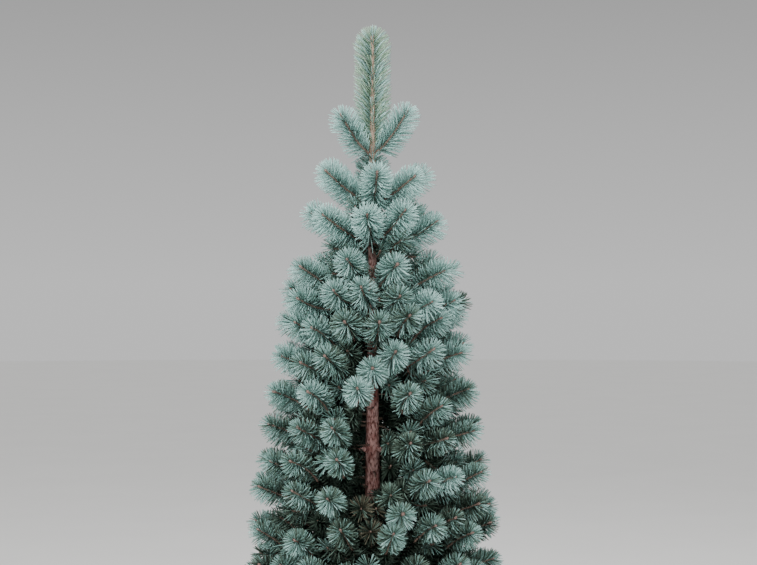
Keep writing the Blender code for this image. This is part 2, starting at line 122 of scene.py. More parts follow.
UNEVEN_RISE = math.radians(6)
ROW_STAGGER = 0.2
SINGLE_SPREAD = 0.4
SINGLE_NEEDLES_START = 0.16
LEADER_DEPTHS = (0.154, 0.014)
NECK_FOOT_DEPTH = 0.260

# A whorl: depth at which it leaves the trunk, rows of shoot tips as (depth, extra shoots), masses as
# (azimuth in degrees, shoots in a row), whether they have boughs, and the seed of their unevenness.
Whorl = namedtuple("Whorl", "name depth rows masses bough seed")
WHORLS = (
    Whorl("top", 0.162, ((0.113, 0),), ((-66, 1), (68, 1), (180, 1)), False, 3179),
    Whorl("second", 0.226, ((0.183, 0),),
          ((-54, 1), (3, 1), (46, 1), (108, 1), (170, 1), (-122, 1)), False, 4395),
    Whorl("third", 0.278, ((0.238, 0),),
          ((-50, 1), (-3, 1), (30, 1), (82, 1), (134, 1), (-170, 1), (-108, 1)), False, 852),
    Whorl("fourth", 0.345, ((0.292, 0), (0.330, 1)),
          ((-75, 2), (-3, 2), (69, 2), (141, 2), (-147, 2)), False, 3674),
    Whorl("fifth", 0.435, ((0.370, 0), (0.415, 0)),
          ((-42, 3), (2, 1), (44, 3), (115, 3), (180, 3), (-115, 3)), False, 241),
    Whorl("sixth", 0.530, ((0.462, 0), (0.505, 0)),
          ((-44, 3), (44, 3), (134, 4), (-134, 4)), True, 7674),
    Whorl("seventh", 0.615, ((0.545, 0), (0.585, 0)),
          ((-44, 3), (44, 3), (115, 3), (180, 3), (-115, 3)), True, 3244),
    Whorl("eighth", 0.700, ((0.628, 0), (0.674, 1), (0.720, 1)),
          ((0, 3), (72, 3), (144, 3), (-144, 3), (-72, 3)), True, 17875),
)

Shoot = namedtuple("Shoot", "path needles_from")
Mass = namedtuple("Mass", "name stem shoots bough curve")

# Finer growth. A side shoot forks off an older twig towards the emptiest place it can reach.
SIDE_SHOOT_TRIES = 14
SIDE_SHOOTS_EACH = 2
SIDE_SHOOT_LENGTH = 0.036
SIDE_CLEARANCE = 0.0195
SIDE_FORKS = (0.25, 1.0)
SIDE_FORK_END = 0.45
SIDE_DEPTH_RANGE = (-0.030, 0.045)
SIDE_AZIMUTH_SPREAD = 0.42
SIDE_RISE_RANGE = (-0.45, 0.25)
SIDE_REACH_SHORT = (0.024, 0.066)
SIDE_SEED = 61
SIDE_SHOOTS_FROM = 0.235

# Growth that springs from the trunk in a spiral, between two depths, from a share of the first turn
# and with an uneven azimuth: inner shoots, which end well inside the crown, and short dead twigs.
Spiral = namedtuple("Spiral", "seed count depths start unevenness")
INNER_SHOOTS = Spiral(19, 124, (0.320, 0.700), 0.5, 0.2)
INNER_SHOOT_REACH = (0.45, 0.84)
INNER_SHOOT_RISE = (0.0, 0.3)
DEAD_TWIGS = Spiral(23, 44, (0.300, 0.720), 0.3, 0.3)
DEAD_TWIG_LENGTHS = (0.016, 0.042)
DEAD_TWIG_BEND = (-0.004, 0.002)
DEAD_TWIG_DROP = (-0.014, 0.008)
DEAD_TWIG_TURN = 0.4
ROOT_SHARE = 0.6

# The stretch of trunk that shows at the front: nothing but main shoots grows before it. Inner shoots
# and the needles of older wood keep out of a narrower corridor before more of the trunk.
OPEN_DEPTHS = (0.385, 0.590)
OPEN_HALF_WIDTH = 0.017
STEM_DEPTHS = (0.170, 0.575)
STEM_CORRIDOR = 0.010
SAMPLE_SPACING = 0.003

# Turn from one needle, bud or twig to the next, and the most triangles in one joined piece.
GOLDEN_ANGLE = math.pi * (3.0 - math.sqrt(5.0))
MAX_TRIANGLES = 190000


# ---------------------------------------------------------------- skeleton of the plant

def trunk_radius(depth):
    """Radius of the trunk at a depth below the tip, with the root flare at the soil."""
    height = TIP_HEIGHT - depth - SOIL_TOP
    flare = FLARE_RADIUS * max(0.0, 1.0 - height / FLARE_HEIGHT) ** 2
    return TRUNK_TIP_RADIUS + TRUNK_TAPER * (depth - TRUNK_TOP_DEPTH) + flare


def crown_reach(depth):
    """Distance of the shoot tips from the trunk's axis at a depth below the tip."""
    reach = min(REACH_GROWTH * math.sqrt(depth) - REACH_START, REACH_MAX)
    return reach - SKIRT_DRAW_IN * max(0.0, depth - SKIRT_DEPTH)


def shoot_rise(depth):
    """Angle of a shoot above the horizontal."""
    return SHOOT_RISE_LOW + SHOOT_RISE_GAIN * math.exp((SHOOT_RISE_DEPTH - depth) / SHOOT_RISE_FADE)


def place(azimuth, reach, depth):
    """Point at an azimuth, a distance from the trunk's axis and a depth below the tip."""
    return Vector((reach * math.sin(azimuth), -reach * math.cos(azimuth), TIP_HEIGHT - depth))


def bend(start, control, end, share):
    """Point on the quadratic curve from start to end that leaves towards the control point."""
    rest = 1.0 - share
    return start * (rest * rest) + control * (2.0 * rest * share) + end * (share * share)


def bent_path(start, control, end, first=0.0, last=1.0):
    """Even points along part of a quadratic curve."""
    return [bend(start, control, end, first + (last - first) * step / PATH_STEPS)
            for step in range(PATH_STEPS + 1)]


def path_length(path):
    """Length of a chain of points."""
    return sum((b - a).length for a, b in zip(path, path[1:]))


def share_clear_of_trunk(start, control, end, radius):
    """Share of a branch's curve at which its blunt root stands clear of the trunk."""
    for step in range(1, CLEARING_STEPS):
        share = step / CLEARING_STEPS
        point = bend(start, control, end, share)
        tangent = (bend(start, control, end, share + 1.0 / CLEARING_STEPS) - point).normalized()
        surface = trunk_radius(TIP_HEIGHT - point.z) + GAP
        if math.hypot(point.x, point.y) >= surface + radius * abs(tangent.z):
            return share
    raise ValueError("a branch never leaves the trunk")


def shoot_curve(root, tip, azimuth, rise, length):
    """Curve from a root to a tip that ends in a straight shoot of an azimuth, a rise and a length."""
    level = math.cos(rise)
    heading = Vector((level * math.sin(azimuth), -level * math.cos(azimuth), math.sin(rise)))
    return root, tip - heading * length, tip


def grow_shoot(rng, root, azimuth, depth, spread):
    """Curve of one shoot from its root to its tip, with the seeded unevenness of growth."""
    azimuth += rng.uniform(-UNEVEN_AZIMUTH, UNEVEN_AZIMUTH) * spread
    depth += rng.uniform(-UNEVEN_DEPTH, UNEVEN_DEPTH)
    reach = crown_reach(depth) + rng.uniform(-REACH_SHORTFALL, REACH_EXCESS)
    rise = shoot_rise(depth) + rng.uniform(-UNEVEN_RISE, UNEVEN_RISE)
    return shoot_curve(root, place(azimuth, reach, depth), azimuth, rise, SHOOT_LENGTH)


def middle_depth(whorl):
    """Mean depth of a whorl's rows of tips."""
    return sum(depth for depth, _ in whorl.rows) / len(whorl.rows)


def fan_shoots(rng, whorl, azimuth, columns, stem):
    """Shoots of one mass: rows of columns over its own sector, the outer ones forking off first."""
    lift = rng.uniform(-UNEVEN_FAN_DEPTH, UNEVEN_FAN_DEPTH)
    total = sum(count for _, count in whorl.masses)
    sector = 2.0 * math.pi * columns / total
    middle = middle_depth(whorl)
    half_height = whorl.rows[-1][0] - middle + 2.0 * UNEVEN_DEPTH
    shoots = []
    for row, (depth, extra) in enumerate(whorl.rows):
        count = columns + extra
        step = sector / count
        stagger = ROW_STAGGER * step * (-1) ** row if columns > 2 else 0.0
        for column in range(count):
            aside = (column - (count - 1) / 2.0) * step + stagger
            away = FORK_HEIGHT_WEIGHT * (depth - middle) / half_height
            offset = min(1.0, math.hypot(2.0 * aside / sector, away))
            fork = LAST_FORK - (LAST_FORK - FIRST_FORK) * offset
            root = stem[round(fork * PATH_STEPS)]
            path = bent_path(*grow_shoot(rng, root, azimuth + aside, depth + lift, step))
            shoots.append(Shoot(path, max(0.0, 1.0 - SHOOT_LENGTH / path_length(path))))
    return shoots


def grow_single(rng, name, whorl, azimuth):
    """Mass of one long shoot that springs from the trunk."""
    start = place(azimuth, 0.0, whorl.depth)
    curve = grow_shoot(rng, start, azimuth, whorl.rows[0][0], SINGLE_SPREAD)
    first = share_clear_of_trunk(*curve, TWIG_RADIUS)
    shoot = Shoot(bent_path(*curve, first=first), SINGLE_NEEDLES_START)
    return Mass(name, None, [shoot], None, curve)


def grow_fan(rng, name, whorl, azimuth, columns):
    """Mass of several shoots on one stem, which springs from the trunk or goes on from a bough."""
    reach = FAN_REACH * crown_reach(middle_depth(whorl))
    curve = (place(azimuth, 0.0, whorl.depth),
             place(azimuth, 0.5 * reach, whorl.depth),
             place(azimuth, reach, middle_depth(whorl) + FAN_DROP))
    first = share_clear_of_trunk(*curve, BOUGH_ROOT_RADIUS)
    bough = None
    if whorl.bough:
        bough = bent_path(*curve, first=first, last=BOUGH_END)
        first = BOUGH_END + GAP / path_length(bent_path(*curve))
    stem = bent_path(*curve, first=first)
    return Mass(name, stem, fan_shoots(rng, whorl, azimuth, columns, stem), bough, curve)


@functools.lru_cache(maxsize=1)
def grow_plant():
    """Every mass of the plant, with the path of its bough where it has one."""
    masses = []
    for whorl in WHORLS:
        rng = random.Random(whorl.seed)
        for number, (degrees, columns) in enumerate(whorl.masses, start=1):
            name = f"{whorl.name}_{number}"
            azimuth = math.radians(degrees)
            if len(whorl.rows) == 1:
                masses.append(grow_single(rng, name, whorl, azimuth))
            else:
                masses.append(grow_fan(rng, name, whorl, azimuth, columns))
    return masses


# ---------------------------------------------------------------- finer growth

def depth_of(point):
    """Depth of a point below the leader's tip."""
    return TIP_HEIGHT - point[2]


def azimuth_of(point):
    """Azimuth of a point round the trunk, 0 at the front and positive to the right."""
    return math.atan2(point.x, -point.y)


def samples_along(path, spacing=SAMPLE_SPACING):
    """Points close together along a chain of points."""
    points = []
    for a, b in zip(path, path[1:]):
        count = max(1, round((b - a).length / spacing))
        points += [a.lerp(b, step / count) for step in range(count)]
    return points + [path[-1]]


def tree_of(points):
    """Search tree of points."""
    tree = KDTree(len(points))
    for index, point in enumerate(points):
        tree.insert(point, index)
    tree.balance()
    return tree


def try_side_shoot(rng, shoot):
    """One possible side shoot of a shoot: a path from its older twig to a place inside the crown."""
    fork = rng.uniform(*SIDE_FORKS) * max(shoot.needles_from, SIDE_FORK_END)
    root = shoot.path[round(fork * PATH_STEPS)]
    tip = shoot.path[-1]
    azimuth = azimuth_of(tip) + rng.uniform(-SIDE_AZIMUTH_SPREAD, SIDE_AZIMUTH_SPREAD)
    depth = TIP_HEIGHT - tip.z + rng.uniform(*SIDE_DEPTH_RANGE)
    reach = crown_reach(depth) - rng.uniform(*SIDE_REACH_SHORT)
    rise = shoot_rise(depth) + rng.uniform(*SIDE_RISE_RANGE)
    end = place(azimuth, reach, depth)
    return bent_path(*shoot_curve(root, end, azimuth, rise, SIDE_SHOOT_LENGTH))


def in_front_gap(point, depths=OPEN_DEPTHS, half_width=OPEN_HALF_WIDTH):
    """True for a point between the trunk's open stretch and the front of the crown."""
    return point[1] < 0.0 and abs(point[0]) < half_width and depths[0] < depth_of(point) < depths[1]


def roomiest_side_shoot(rng, shoot, tree, added):
    """The tried side shoot whose tip lies furthest from all other growth, or None without room."""
    best_room, best_path = SIDE_CLEARANCE, None
    for _ in range(SIDE_SHOOT_TRIES):
        path = try_side_shoot(rng, shoot)
        if in_front_gap(path[-1]):
            continue
        room = min([tree.find(path[-1])[2]] + [(path[-1] - point).length for point in added])
        if room > best_room:
            best_room, best_path = room, path
    return best_path


@functools.lru_cache(maxsize=1)
def grow_side_shoots():
    """Side shoots by mass name."""
    rng = random.Random(SIDE_SEED)
    masses = grow_plant()
    taken = [point for mass in masses for shoot in mass.shoots for point in samples_along(shoot.path)]
    tree = tree_of(taken + samples_along(upright_path(*LEADER_DEPTHS)))
    added = []
    grown = {mass.name: [] for mass in masses}
    for mass in masses:
        for shoot in mass.shoots:
            if depth_of(shoot.path[-1]) < SIDE_SHOOTS_FROM:
                continue
            for _ in range(SIDE_SHOOTS_EACH):
                path = roomiest_side_shoot(rng, shoot, tree, added)
                if path:
                    needles_from = max(0.0, 1.0 - SIDE_SHOOT_LENGTH / path_length(path))
                    grown[mass.name].append(Shoot(path, needles_from))
                    added += samples_along(path, 3.0 * SAMPLE_SPACING)
    return grown


def upright_path(foot_depth, top_depth):
    """Even points up the trunk's axis."""
    return [place(0.0, 0.0, foot_depth + (top_depth - foot_depth) * step / PATH_STEPS)
            for step in range(PATH_STEPS + 1)]


def spiral_down(rng, spiral):
    """Azimuths and depths at which the growth of a spiral leaves the trunk."""
    top, foot = spiral.depths
    for number in range(spiral.count):
        uneven = rng.uniform(-spiral.unevenness, spiral.unevenness)
        azimuth = (number + spiral.start) * GOLDEN_ANGLE + uneven
        yield azimuth, top + (foot - top) * (number + rng.random()) / spiral.count


@functools.lru_cache(maxsize=1)
def grow_inner_shoots():
    """Short dim shoots that spring from the trunk between the whorls, beside and behind it."""
    rng = random.Random(INNER_SHOOTS.seed)
    uneven = INNER_SHOOTS.unevenness
    paths = []
    for azimuth, depth in spiral_down(rng, INNER_SHOOTS):
        reach = rng.uniform(*INNER_SHOOT_REACH) * crown_reach(depth)
        root = place(azimuth, ROOT_SHARE * trunk_radius(depth), depth)
        tip = place(azimuth + rng.uniform(-uneven, uneven), reach,
                    depth - rng.uniform(*INNER_SHOOT_RISE) * reach)
        path = bent_path(root, place(azimuth, 0.5 * reach, depth), tip)
        if not any(in_front_gap(point, STEM_DEPTHS, 2.0 * STEM_CORRIDOR) for point in path[3:]):
            paths.append(path)
    return paths


@functools.lru_cache(maxsize=1)
def grow_dead_twigs():
    """Thin bare twigs that stand out from the trunk between the whorls."""
    rng = random.Random(DEAD_TWIGS.seed)
    twigs = []
    for azimuth, depth in spiral_down(rng, DEAD_TWIGS):
        length = rng.uniform(*DEAD_TWIG_LENGTHS)
        surface = trunk_radius(depth)
        root = place(azimuth, ROOT_SHARE * surface, depth)
        level = place(azimuth, surface + 0.5 * length, depth + rng.uniform(*DEAD_TWIG_BEND))
        end = place(azimuth + rng.uniform(-DEAD_TWIG_TURN, DEAD_TWIG_TURN), surface + length,
                    depth + rng.uniform(*DEAD_TWIG_DROP))
        twigs.append(bent_path(root, level, end))
    return twigs


# ---------------------------------------------------------------- meshes from arrays

class Bundle:
    """Many small closed shapes joined into one mesh of triangles."""

    def __init__(self):
        self.points = []
        self.faces = []
        self.total = 0
        self.triangles = 0

    def add(self, points, faces):
        """Join one more shape, or many at once, given as arrays of points and of corner numbers."""
        self.points.append(points.reshape(-1, 3))
        self.faces.append(faces.reshape(-1, 3) + self.total)
        self.total += len(self.points[-1])
        self.triangles += len(self.faces[-1])

    def mesh(self, name):
        """The joined mesh."""
        points = np.concatenate(self.points).astype(np.float32)
        faces = np.concatenate(self.faces).astype(np.int32)
        mesh = bpy.data.meshes.new(name)
        mesh.vertices.add(len(points))
        mesh.vertices.foreach_set("co", points.ravel())
        mesh.loops.add(faces.size)
        mesh.loops.foreach_set("vertex_index", faces.ravel())
        mesh.polygons.add(len(faces))
        mesh.polygons.foreach_set("loop_start", np.arange(0, faces.size, 3, dtype=np.int32))
        mesh.update(calc_edges=True)
        mesh.validate()
        return mesh


def unit(vectors):
    """Vectors of length one."""
    return vectors / np.maximum(np.linalg.norm(vectors, axis=-1, keepdims=True), 1e-12)


def even_turns(count):
    """Angles of a number of even steps round a full turn."""
    return 2.0 * np.pi * np.arange(count) / count


def round_axis(radius, turns, height):
    """Points round the trunk's axis, with turns counted from the front."""
    spread = np.broadcast_arrays(radius * np.sin(turns), -radius * np.cos(turns), height)
    return np.stack(spread, -1)


def cross_axes(tangents):
    """Two directions square to each tangent of a gentle curve, without a twist along it."""
    mean = np.abs(tangents.mean(axis=0))
    reference = np.eye(3)[int(np.argmin(mean))]
    across = unit(np.cross(tangents, reference))
    return across, np.cross(tangents, across)


def rims(across, square, turns):
    """Directions round each axis, at turns from the first of its two cross directions."""
    return (np.cos(turns)[..., None] * across[..., None, :]
            + np.sin(turns)[..., None] * square[..., None, :])


def points_on(path, shares):
    """Points and directions at shares of the way along a path of even steps."""
    corners = np.array(path, float)
    along = np.clip(shares, 0.0, 1.0) * (len(corners) - 1)
    steps = np.arange(len(corners))
    slopes = unit(np.gradient(corners, axis=0))
    points, tangents = (np.stack([np.interp(along, steps, values[:, axis]) for axis in range(3)], -1)
                        for values in (corners, slopes))
    return points, unit(tangents)


def tube_faces(rings, sides):
    """Corner numbers of a closed tube: rings of points, and then the middle point of each end."""
    low = np.arange(rings - 1)[:, None] * sides
    side = np.arange(sides)[None, :]
    after = (side + 1) % sides
    a, b, c, d = low + side, low + after, low + sides + after, low + sides + side
    skin = [np.stack([a, b, c], -1).reshape(-1, 3), np.stack([a, c, d], -1).reshape(-1, 3)]
    ring = np.arange(sides)
    first, last = rings * sides, rings * sides + 1
    top = (rings - 1) * sides
    foot_cap = np.stack([(ring + 1) % sides, ring, np.full(sides, first)], -1)
    top_cap = np.stack([top + ring, top + (ring + 1) % sides, np.full(sides, last)], -1)
    return np.concatenate([*skin, foot_cap, top_cap])


def add_tube(bundle, rings, first_end, last_end):
    """Closed tube through rings of points, with a middle point for each end."""
    points = np.concatenate([rings.reshape(-1, 3), [first_end, last_end]])
    bundle.add(points, tube_faces(*rings.shape[:2]))


def add_limb(bundle, path, radii, sides):
    """Closed tube along a path: one radius for each ring, or one for each point of each ring."""
    radii = np.asarray(radii, float)
    centres, tangents = points_on(path, np.linspace(0.0, 1.0, len(radii)))
    spread = radii[:, None] if radii.ndim == 1 else radii
    rings = centres[:, None] + rims(*cross_axes(tangents), even_turns(sides)) * spread[:, :, None]
    add_tube(bundle, rings, centres[0], centres[-1] + tangents[-1] * spread[-1].mean())


def add_piece(name, mesh, material, nodes=()):
    """Object of the plant that rides on the frame and stands for the nodes it replaces."""
    mesh.materials.append(material)
    piece = bpy.data.objects.new(name, mesh)
    bpy.context.scene.collection.objects.link(piece)
    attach(piece, "root")
    if nodes:
        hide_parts(*nodes)
    return piece


# ---------------------------------------------------------------- materials

def linear(hex_colour):
    """Linear colour of an sRGB hex value."""
    channels = [int(hex_colour[start:start + 2], 16) / 255.0 for start in (1, 3, 5)]
    return tuple(c / 12.92 if c <= 0.04045 else ((c + 0.055) / 1.055) ** 2.4 for c in channels)


def shaded(colour, factor):
    """A linear colour made lighter or darker."""
    return tuple(min(1.0, channel * factor) for channel in colour[:3])


def node(tree, kind, values=None, links=None, stops=(), **settings):
    """Add a node with its settings, the values on its sockets, the links into them and its stops."""
    added = tree.nodes.new(kind)
    for name, value in settings.items():
        setattr(added, name, value)
    for socket, value in (values or {}).items():
        added.inputs[socket].default_value = value
    for socket, source in (links or {}).items():
        tree.links.new(source, added.inputs[socket])
    for number, (position, colour) in enumerate(stops):
        elements = added.color_ramp.elements
        element = elements[number] if number < 2 else elements.new(position)
        element.position = position
        element.color = (*colour, 1.0)
    return added


def new_material(name, roughness, ior, specular):
    """Material with an empty tree but for its shader and output, and the shader itself."""
    material = bpy.data.materials.new(name)
    material.use_nodes = True
    shader = material.node_tree.nodes["Principled BSDF"]
    for socket, value in (("Roughness", roughness), ("IOR", ior), ("Specular IOR Level", specular),
                          ("Metallic", 0.0)):
        shader.inputs[socket].default_value = value
    return material, shader


def waxy_needle(name, colour):
    """Spruce needle, a smooth cuticle under a bloom of wax: the wax scatters light and hides gloss."""
    material, shader = new_material(name, roughness=0.55, ior=1.45, specular=0.4)
    shader.inputs["Base Color"].default_value = (*colour, 1.0)
    return material


def flaky_bark(name, settings):
    """Spruce bark that grew, split and flaked: rough plates with dark cracks between them.

    It looks dusty and matt, paler on the raised plates, redder where some have fallen off, and
    smooth and tan on the young wood of the leader.
    """
    plate, fresh, crack = settings.plate[:], settings.fresh[:], settings.crack[:]
    material, shader = new_material(name, roughness=0.86, ior=1.5, specular=0.3)
    tree = material.node_tree
    coords = node(tree, "ShaderNodeTexCoord")
    # One unit is one scale of bark, 3.2 by 9.5 mm as in the relief. The fibres are 2.3 mm wide and
    # split down to 0.04 mm, and the worn patches are 7.6 mm wide.
    scale = (1.0 / settings.flake_width, 1.0 / settings.flake_width, 1.0 / settings.flake_height)
    stretch = node(tree, "ShaderNodeMapping", {"Scale": scale}, {"Vector": coords.outputs["Object"]})
    plates = node(tree, "ShaderNodeTexVoronoi", {"Scale": 1.0, "Randomness": 0.9},
                  {"Vector": stretch.outputs["Vector"]}, feature="DISTANCE_TO_EDGE")
    fibres = node(tree, "ShaderNodeTexNoise", {"Scale": 1.4, "Detail": 6.0, "Roughness": 0.70},
                  {"Vector": stretch.outputs["Vector"]})
    mixed = node(tree, "ShaderNodeMath", {1: 0.55},
                 {0: plates.outputs["Distance"], 2: fibres.outputs["Fac"]}, operation="MULTIPLY_ADD")
    outer = node(tree, "ShaderNodeValToRGB", links={"Fac": mixed.outputs["Value"]},
                 stops=((0.40, crack), (0.49, shaded(fresh, 0.75)), (0.60, plate),
                        (0.80, shaded(plate, 1.4))))
    inner = node(tree, "ShaderNodeValToRGB", links={"Fac": mixed.outputs["Value"]},
                 stops=((0.40, shaded(crack, 0.7)), (0.52, shaded(fresh, 0.7)), (0.76, fresh)))
    wear = node(tree, "ShaderNodeTexNoise", {"Scale": 0.42, "Detail": 2.0, "Roughness": 0.5},
                {"Vector": stretch.outputs["Vector"]})
    worn = node(tree, "ShaderNodeMapRange", {"From Min": 0.46, "From Max": 0.66},
                {"Value": wear.outputs["Fac"]})
    old = node(tree, "ShaderNodeMix", data_type="RGBA",
               links={"Factor": worn.outputs["Result"], "A": outer.outputs["Color"],
                      "B": inner.outputs["Color"]})
    height = node(tree, "ShaderNodeSeparateXYZ", links={"Vector": coords.outputs["Object"]})
    youth = node(tree, "ShaderNodeMapRange", {"From Min": TIP_HEIGHT - YOUNG_DEPTH,
                                              "From Max": TIP_HEIGHT - 0.5 * YOUNG_DEPTH},
                 {"Value": height.outputs["Z"]})
    colour = node(tree, "ShaderNodeMix", {"B": (*settings.young[:], 1.0)},
                  {"Factor": youth.outputs["Result"], "A": old.outputs["Result"]}, data_type="RGBA")
    tree.links.new(colour.outputs["Result"], shader.inputs["Base Color"])
    bump = node(tree, "ShaderNodeBump", {"Strength": 0.5, "Distance": 0.0006},
                {"Height": fibres.outputs["Fac"]})
    tree.links.new(bump.outputs["Normal"], shader.inputs["Normal"])
    return material


def mottled(name, dark, light, grains, roughness, bump_height):
    """Dry matt surface whose colour wanders between two tones, with so many grains to a metre."""
    material, shader = new_material(name, roughness=roughness, ior=1.5, specular=0.3)
    tree = material.node_tree
    coords = node(tree, "ShaderNodeTexCoord")
    grain = node(tree, "ShaderNodeTexNoise", {"Scale": grains, "Detail": 5.0, "Roughness": 0.6},
                 {"Vector": coords.outputs["Object"]})
    colour = node(tree, "ShaderNodeValToRGB", links={"Fac": grain.outputs["Fac"]},
                  stops=((0.32, dark), (0.68, light)))
    tree.links.new(colour.outputs["Color"], shader.inputs["Base Color"])
    bump = node(tree, "ShaderNodeBump", {"Strength": 0.6, "Distance": bump_height},
                {"Height": grain.outputs["Fac"]})
    tree.links.new(bump.outputs["Normal"], shader.inputs["Normal"])
    return material


def young_shoot_bark(settings):
    """Smooth bark of this year's shoots: tan and barely rough, with needle pegs 1.5 mm apart."""
    return mottled("young shoot bark", shaded(settings.shoot[:], 0.42), settings.shoot[:],
                   grains=650.0, roughness=0.7, bump_height=0.0003)


def second_year_bark(settings):
    """Bark of older twigs, cracked by growth: grey-brown and matt, with cracks 1.9 mm apart."""
    return mottled("second year twig bark", shaded(settings.twig[:], 0.28), settings.twig[:],
                   grains=520.0, roughness=0.8, bump_height=0.0004)


def papery_scales(settings):
    """Dry overlapping bud scales: light brown with a faint sheen, mottled every 1.4 mm."""
    return mottled("papery bud scales", shaded(settings.bud[:], 0.62), settings.bud[:],
                   grains=700.0, roughness=0.6, bump_height=0.0002)


def potting_mix(settings):
    """Moist bark and peat, sieved and pressed down: nearly black hollows, brown crumbs of 3.8 mm."""
    return mottled("moist potting mix", settings.earth_dark[:], settings.earth_light[:],
                   grains=260.0, roughness=0.95, bump_height=0.0010)


def floor_paint(settings):
    """Rolled matt paint: an even pale tone that drifts a little every third of a metre."""
    return mottled("matt painted floor", shaded(settings.floor[:], 0.97), settings.floor[:],
                   grains=3.0, roughness=0.9, bump_height=0.0001)


def fired_clay(name, body, bloom):
    """Unglazed terracotta, thrown and fired: dry and matt, mottled, with a pale bloom of lime salts."""
    material, shader = new_material(name, roughness=0.82, ior=1.5, specular=0.35)
    tree = material.node_tree
    coords = node(tree, "ShaderNodeTexCoord")
    # Fire marks about 70 mm wide and patches of lime about 140 mm wide, both with finer edges.
    clouds = node(tree, "ShaderNodeTexNoise", {"Scale": 14.0, "Detail": 7.0, "Roughness": 0.62},
                  {"Vector": coords.outputs["Object"]})
    clay = node(tree, "ShaderNodeValToRGB", links={"Fac": clouds.outputs["Fac"]},
                stops=((0.30, shaded(body, 0.76)), (0.52, body), (0.74, shaded(body, 1.22))))
    patches = node(tree, "ShaderNodeTexNoise", {"Scale": 7.0, "Detail": 9.0, "Roughness": 0.7},
                   {"Vector": coords.outputs["Object"]})
    cover = node(tree, "ShaderNodeMapRange", {"From Min": 0.48, "From Max": 0.80, "To Max": 0.42},
                 {"Value": patches.outputs["Fac"]})
    colour = node(tree, "ShaderNodeMix", {"B": (*bloom, 1.0)},
                  {"Factor": cover.outputs["Result"], "A": clay.outputs["Color"]}, data_type="RGBA")
    tree.links.new(colour.outputs["Result"], shader.inputs["Base Color"])
    # Real grit is about 0.3 mm. It is drawn 1.1 mm wide, coarse enough to show.
    grit = node(tree, "ShaderNodeTexNoise", {"Scale": 900.0, "Detail": 3.0, "Roughness": 0.6},
                {"Vector": coords.outputs["Object"]})
    bump = node(tree, "ShaderNodeBump", {"Strength": 0.35, "Distance": 0.0003},
                {"Height": grit.outputs["Fac"]})
    tree.links.new(bump.outputs["Normal"], shader.inputs["Normal"])
    return material


# ---------------------------------------------------------------- settings

def colour_property(name, description, hex_colour):
    """Colour setting with an sRGB default."""
    return FloatVectorProperty(name=name, description=description, subtype="COLOR", size=3,
                               min=0.0, max=1.0, default=linear(hex_colour))


def length_property(name, description, default):
    """Length setting in metres."""
    return FloatProperty(name=name, description=description, unit="LENGTH", min=0.0, precision=5,
                         default=default)


class SpruceNeedleSettings(bpy.types.PropertyGroup):
    """Sizes, number and colours of the needles."""

    length: length_property("Length", "Length of a full-grown needle", 0.0240)
    width: length_property("Width", "Width of a needle at its middle", 0.00115)
    density: FloatProperty(name="Density", description="Share of the usual number of needles",
                           min=0.1, max=2.0, default=1.0)
    seed: IntProperty(name="Seed", description="Seed of the needles' unevenness", default=5)
    frosted: colour_property("Frosted", "Youngest needles, under a thick bloom of wax", "#BFE6E0")
    pale: colour_property("Pale", "Young needles, bloomed all over", "#A4CBC5")
    fresh: colour_property("Fresh", "This year's needles", "#84ABA2")
    mature: colour_property("Mature", "Needles that have lost some of their bloom", "#667D70")
    # The shaded and old tones are darker partly for the needles' age and partly as painted shade inside
    # the crown.
    shaded: colour_property("Shaded", "Older needles inside the crown", "#3A493D")
    old: colour_property("Old", "Oldest green needles next to the trunk", "#1B2D22")
    dry: colour_property("Dry", "Dead needles", "#6A6756")
    leader: colour_property("Leader", "Greener needles of the leader", "#ADCAB2")


class SpruceBarkSettings(bpy.types.PropertyGroup):
    """Relief and colours of the bark."""

    relief: length_property("Relief", "Height of the scales at the foot of the trunk", 0.0014)
    flake_width: length_property("Scale width", "Width of a scale of bark", 0.0032)
    flake_height: length_property("Scale height", "Height of a scale of bark", 0.0095)
    plate: colour_property("Scales", "Weathered outer face of the scales", "#E0B5AE")
    fresh: colour_property("Fresh bark", "Redder bark where scales have fallen off", "#BE7C74")
    crack: colour_property("Cracks", "Gaps between the scales", "#281211")
    young: colour_property("Young bark", "Bark of the leader", "#B49B89")
    shoot: colour_property("Shoots", "Bark of this year's side shoots", "#9C8376")
    twig: colour_property("Twigs", "Bark of second-year twigs", "#6E5D50")
    bud: colour_property("Buds", "Papery bud scales", "#A4867D")


class SprucePotSettings(bpy.types.PropertyGroup):
    """Look of the pot and its soil."""

    clay: colour_property("Clay", "Fired clay of the pot", "#B4704F")
    bloom: colour_property("Bloom", "Lime salts on the clay", "#D8C4AE")
    earth_dark: colour_property("Moist soil", "Soil in its hollows", "#1E1610")
    earth_light: colour_property("Dry soil", "Soil on its crumbs", "#4A382A")
    crumb: length_property("Crumb", "Height of the crumbs of the soil", 0.0022)


class SpruceStageSettings(bpy.types.PropertyGroup):
    """Floor, light and camera."""

    floor: colour_property("Floor", "Plain pale floor", "#E4E3E1")
    key_power: FloatProperty(name="Key light", description="Power of the key light", unit="POWER",
                             default=80.0)
    sky: FloatProperty(name="Sky", description="Strength of the soft light all round", default=1.0)
    distance: length_property("Camera distance", "From the camera to the trunk's axis", 2.2)


class SpruceSettings(bpy.types.PropertyGroup):
    """Every setting of the potted spruce."""

    needles: PointerProperty(type=SpruceNeedleSettings)
    bark: PointerProperty(type=SpruceBarkSettings)
    pot: PointerProperty(type=SprucePotSettings)
    stage: PointerProperty(type=SpruceStageSettings)


# ---------------------------------------------------------------- bark

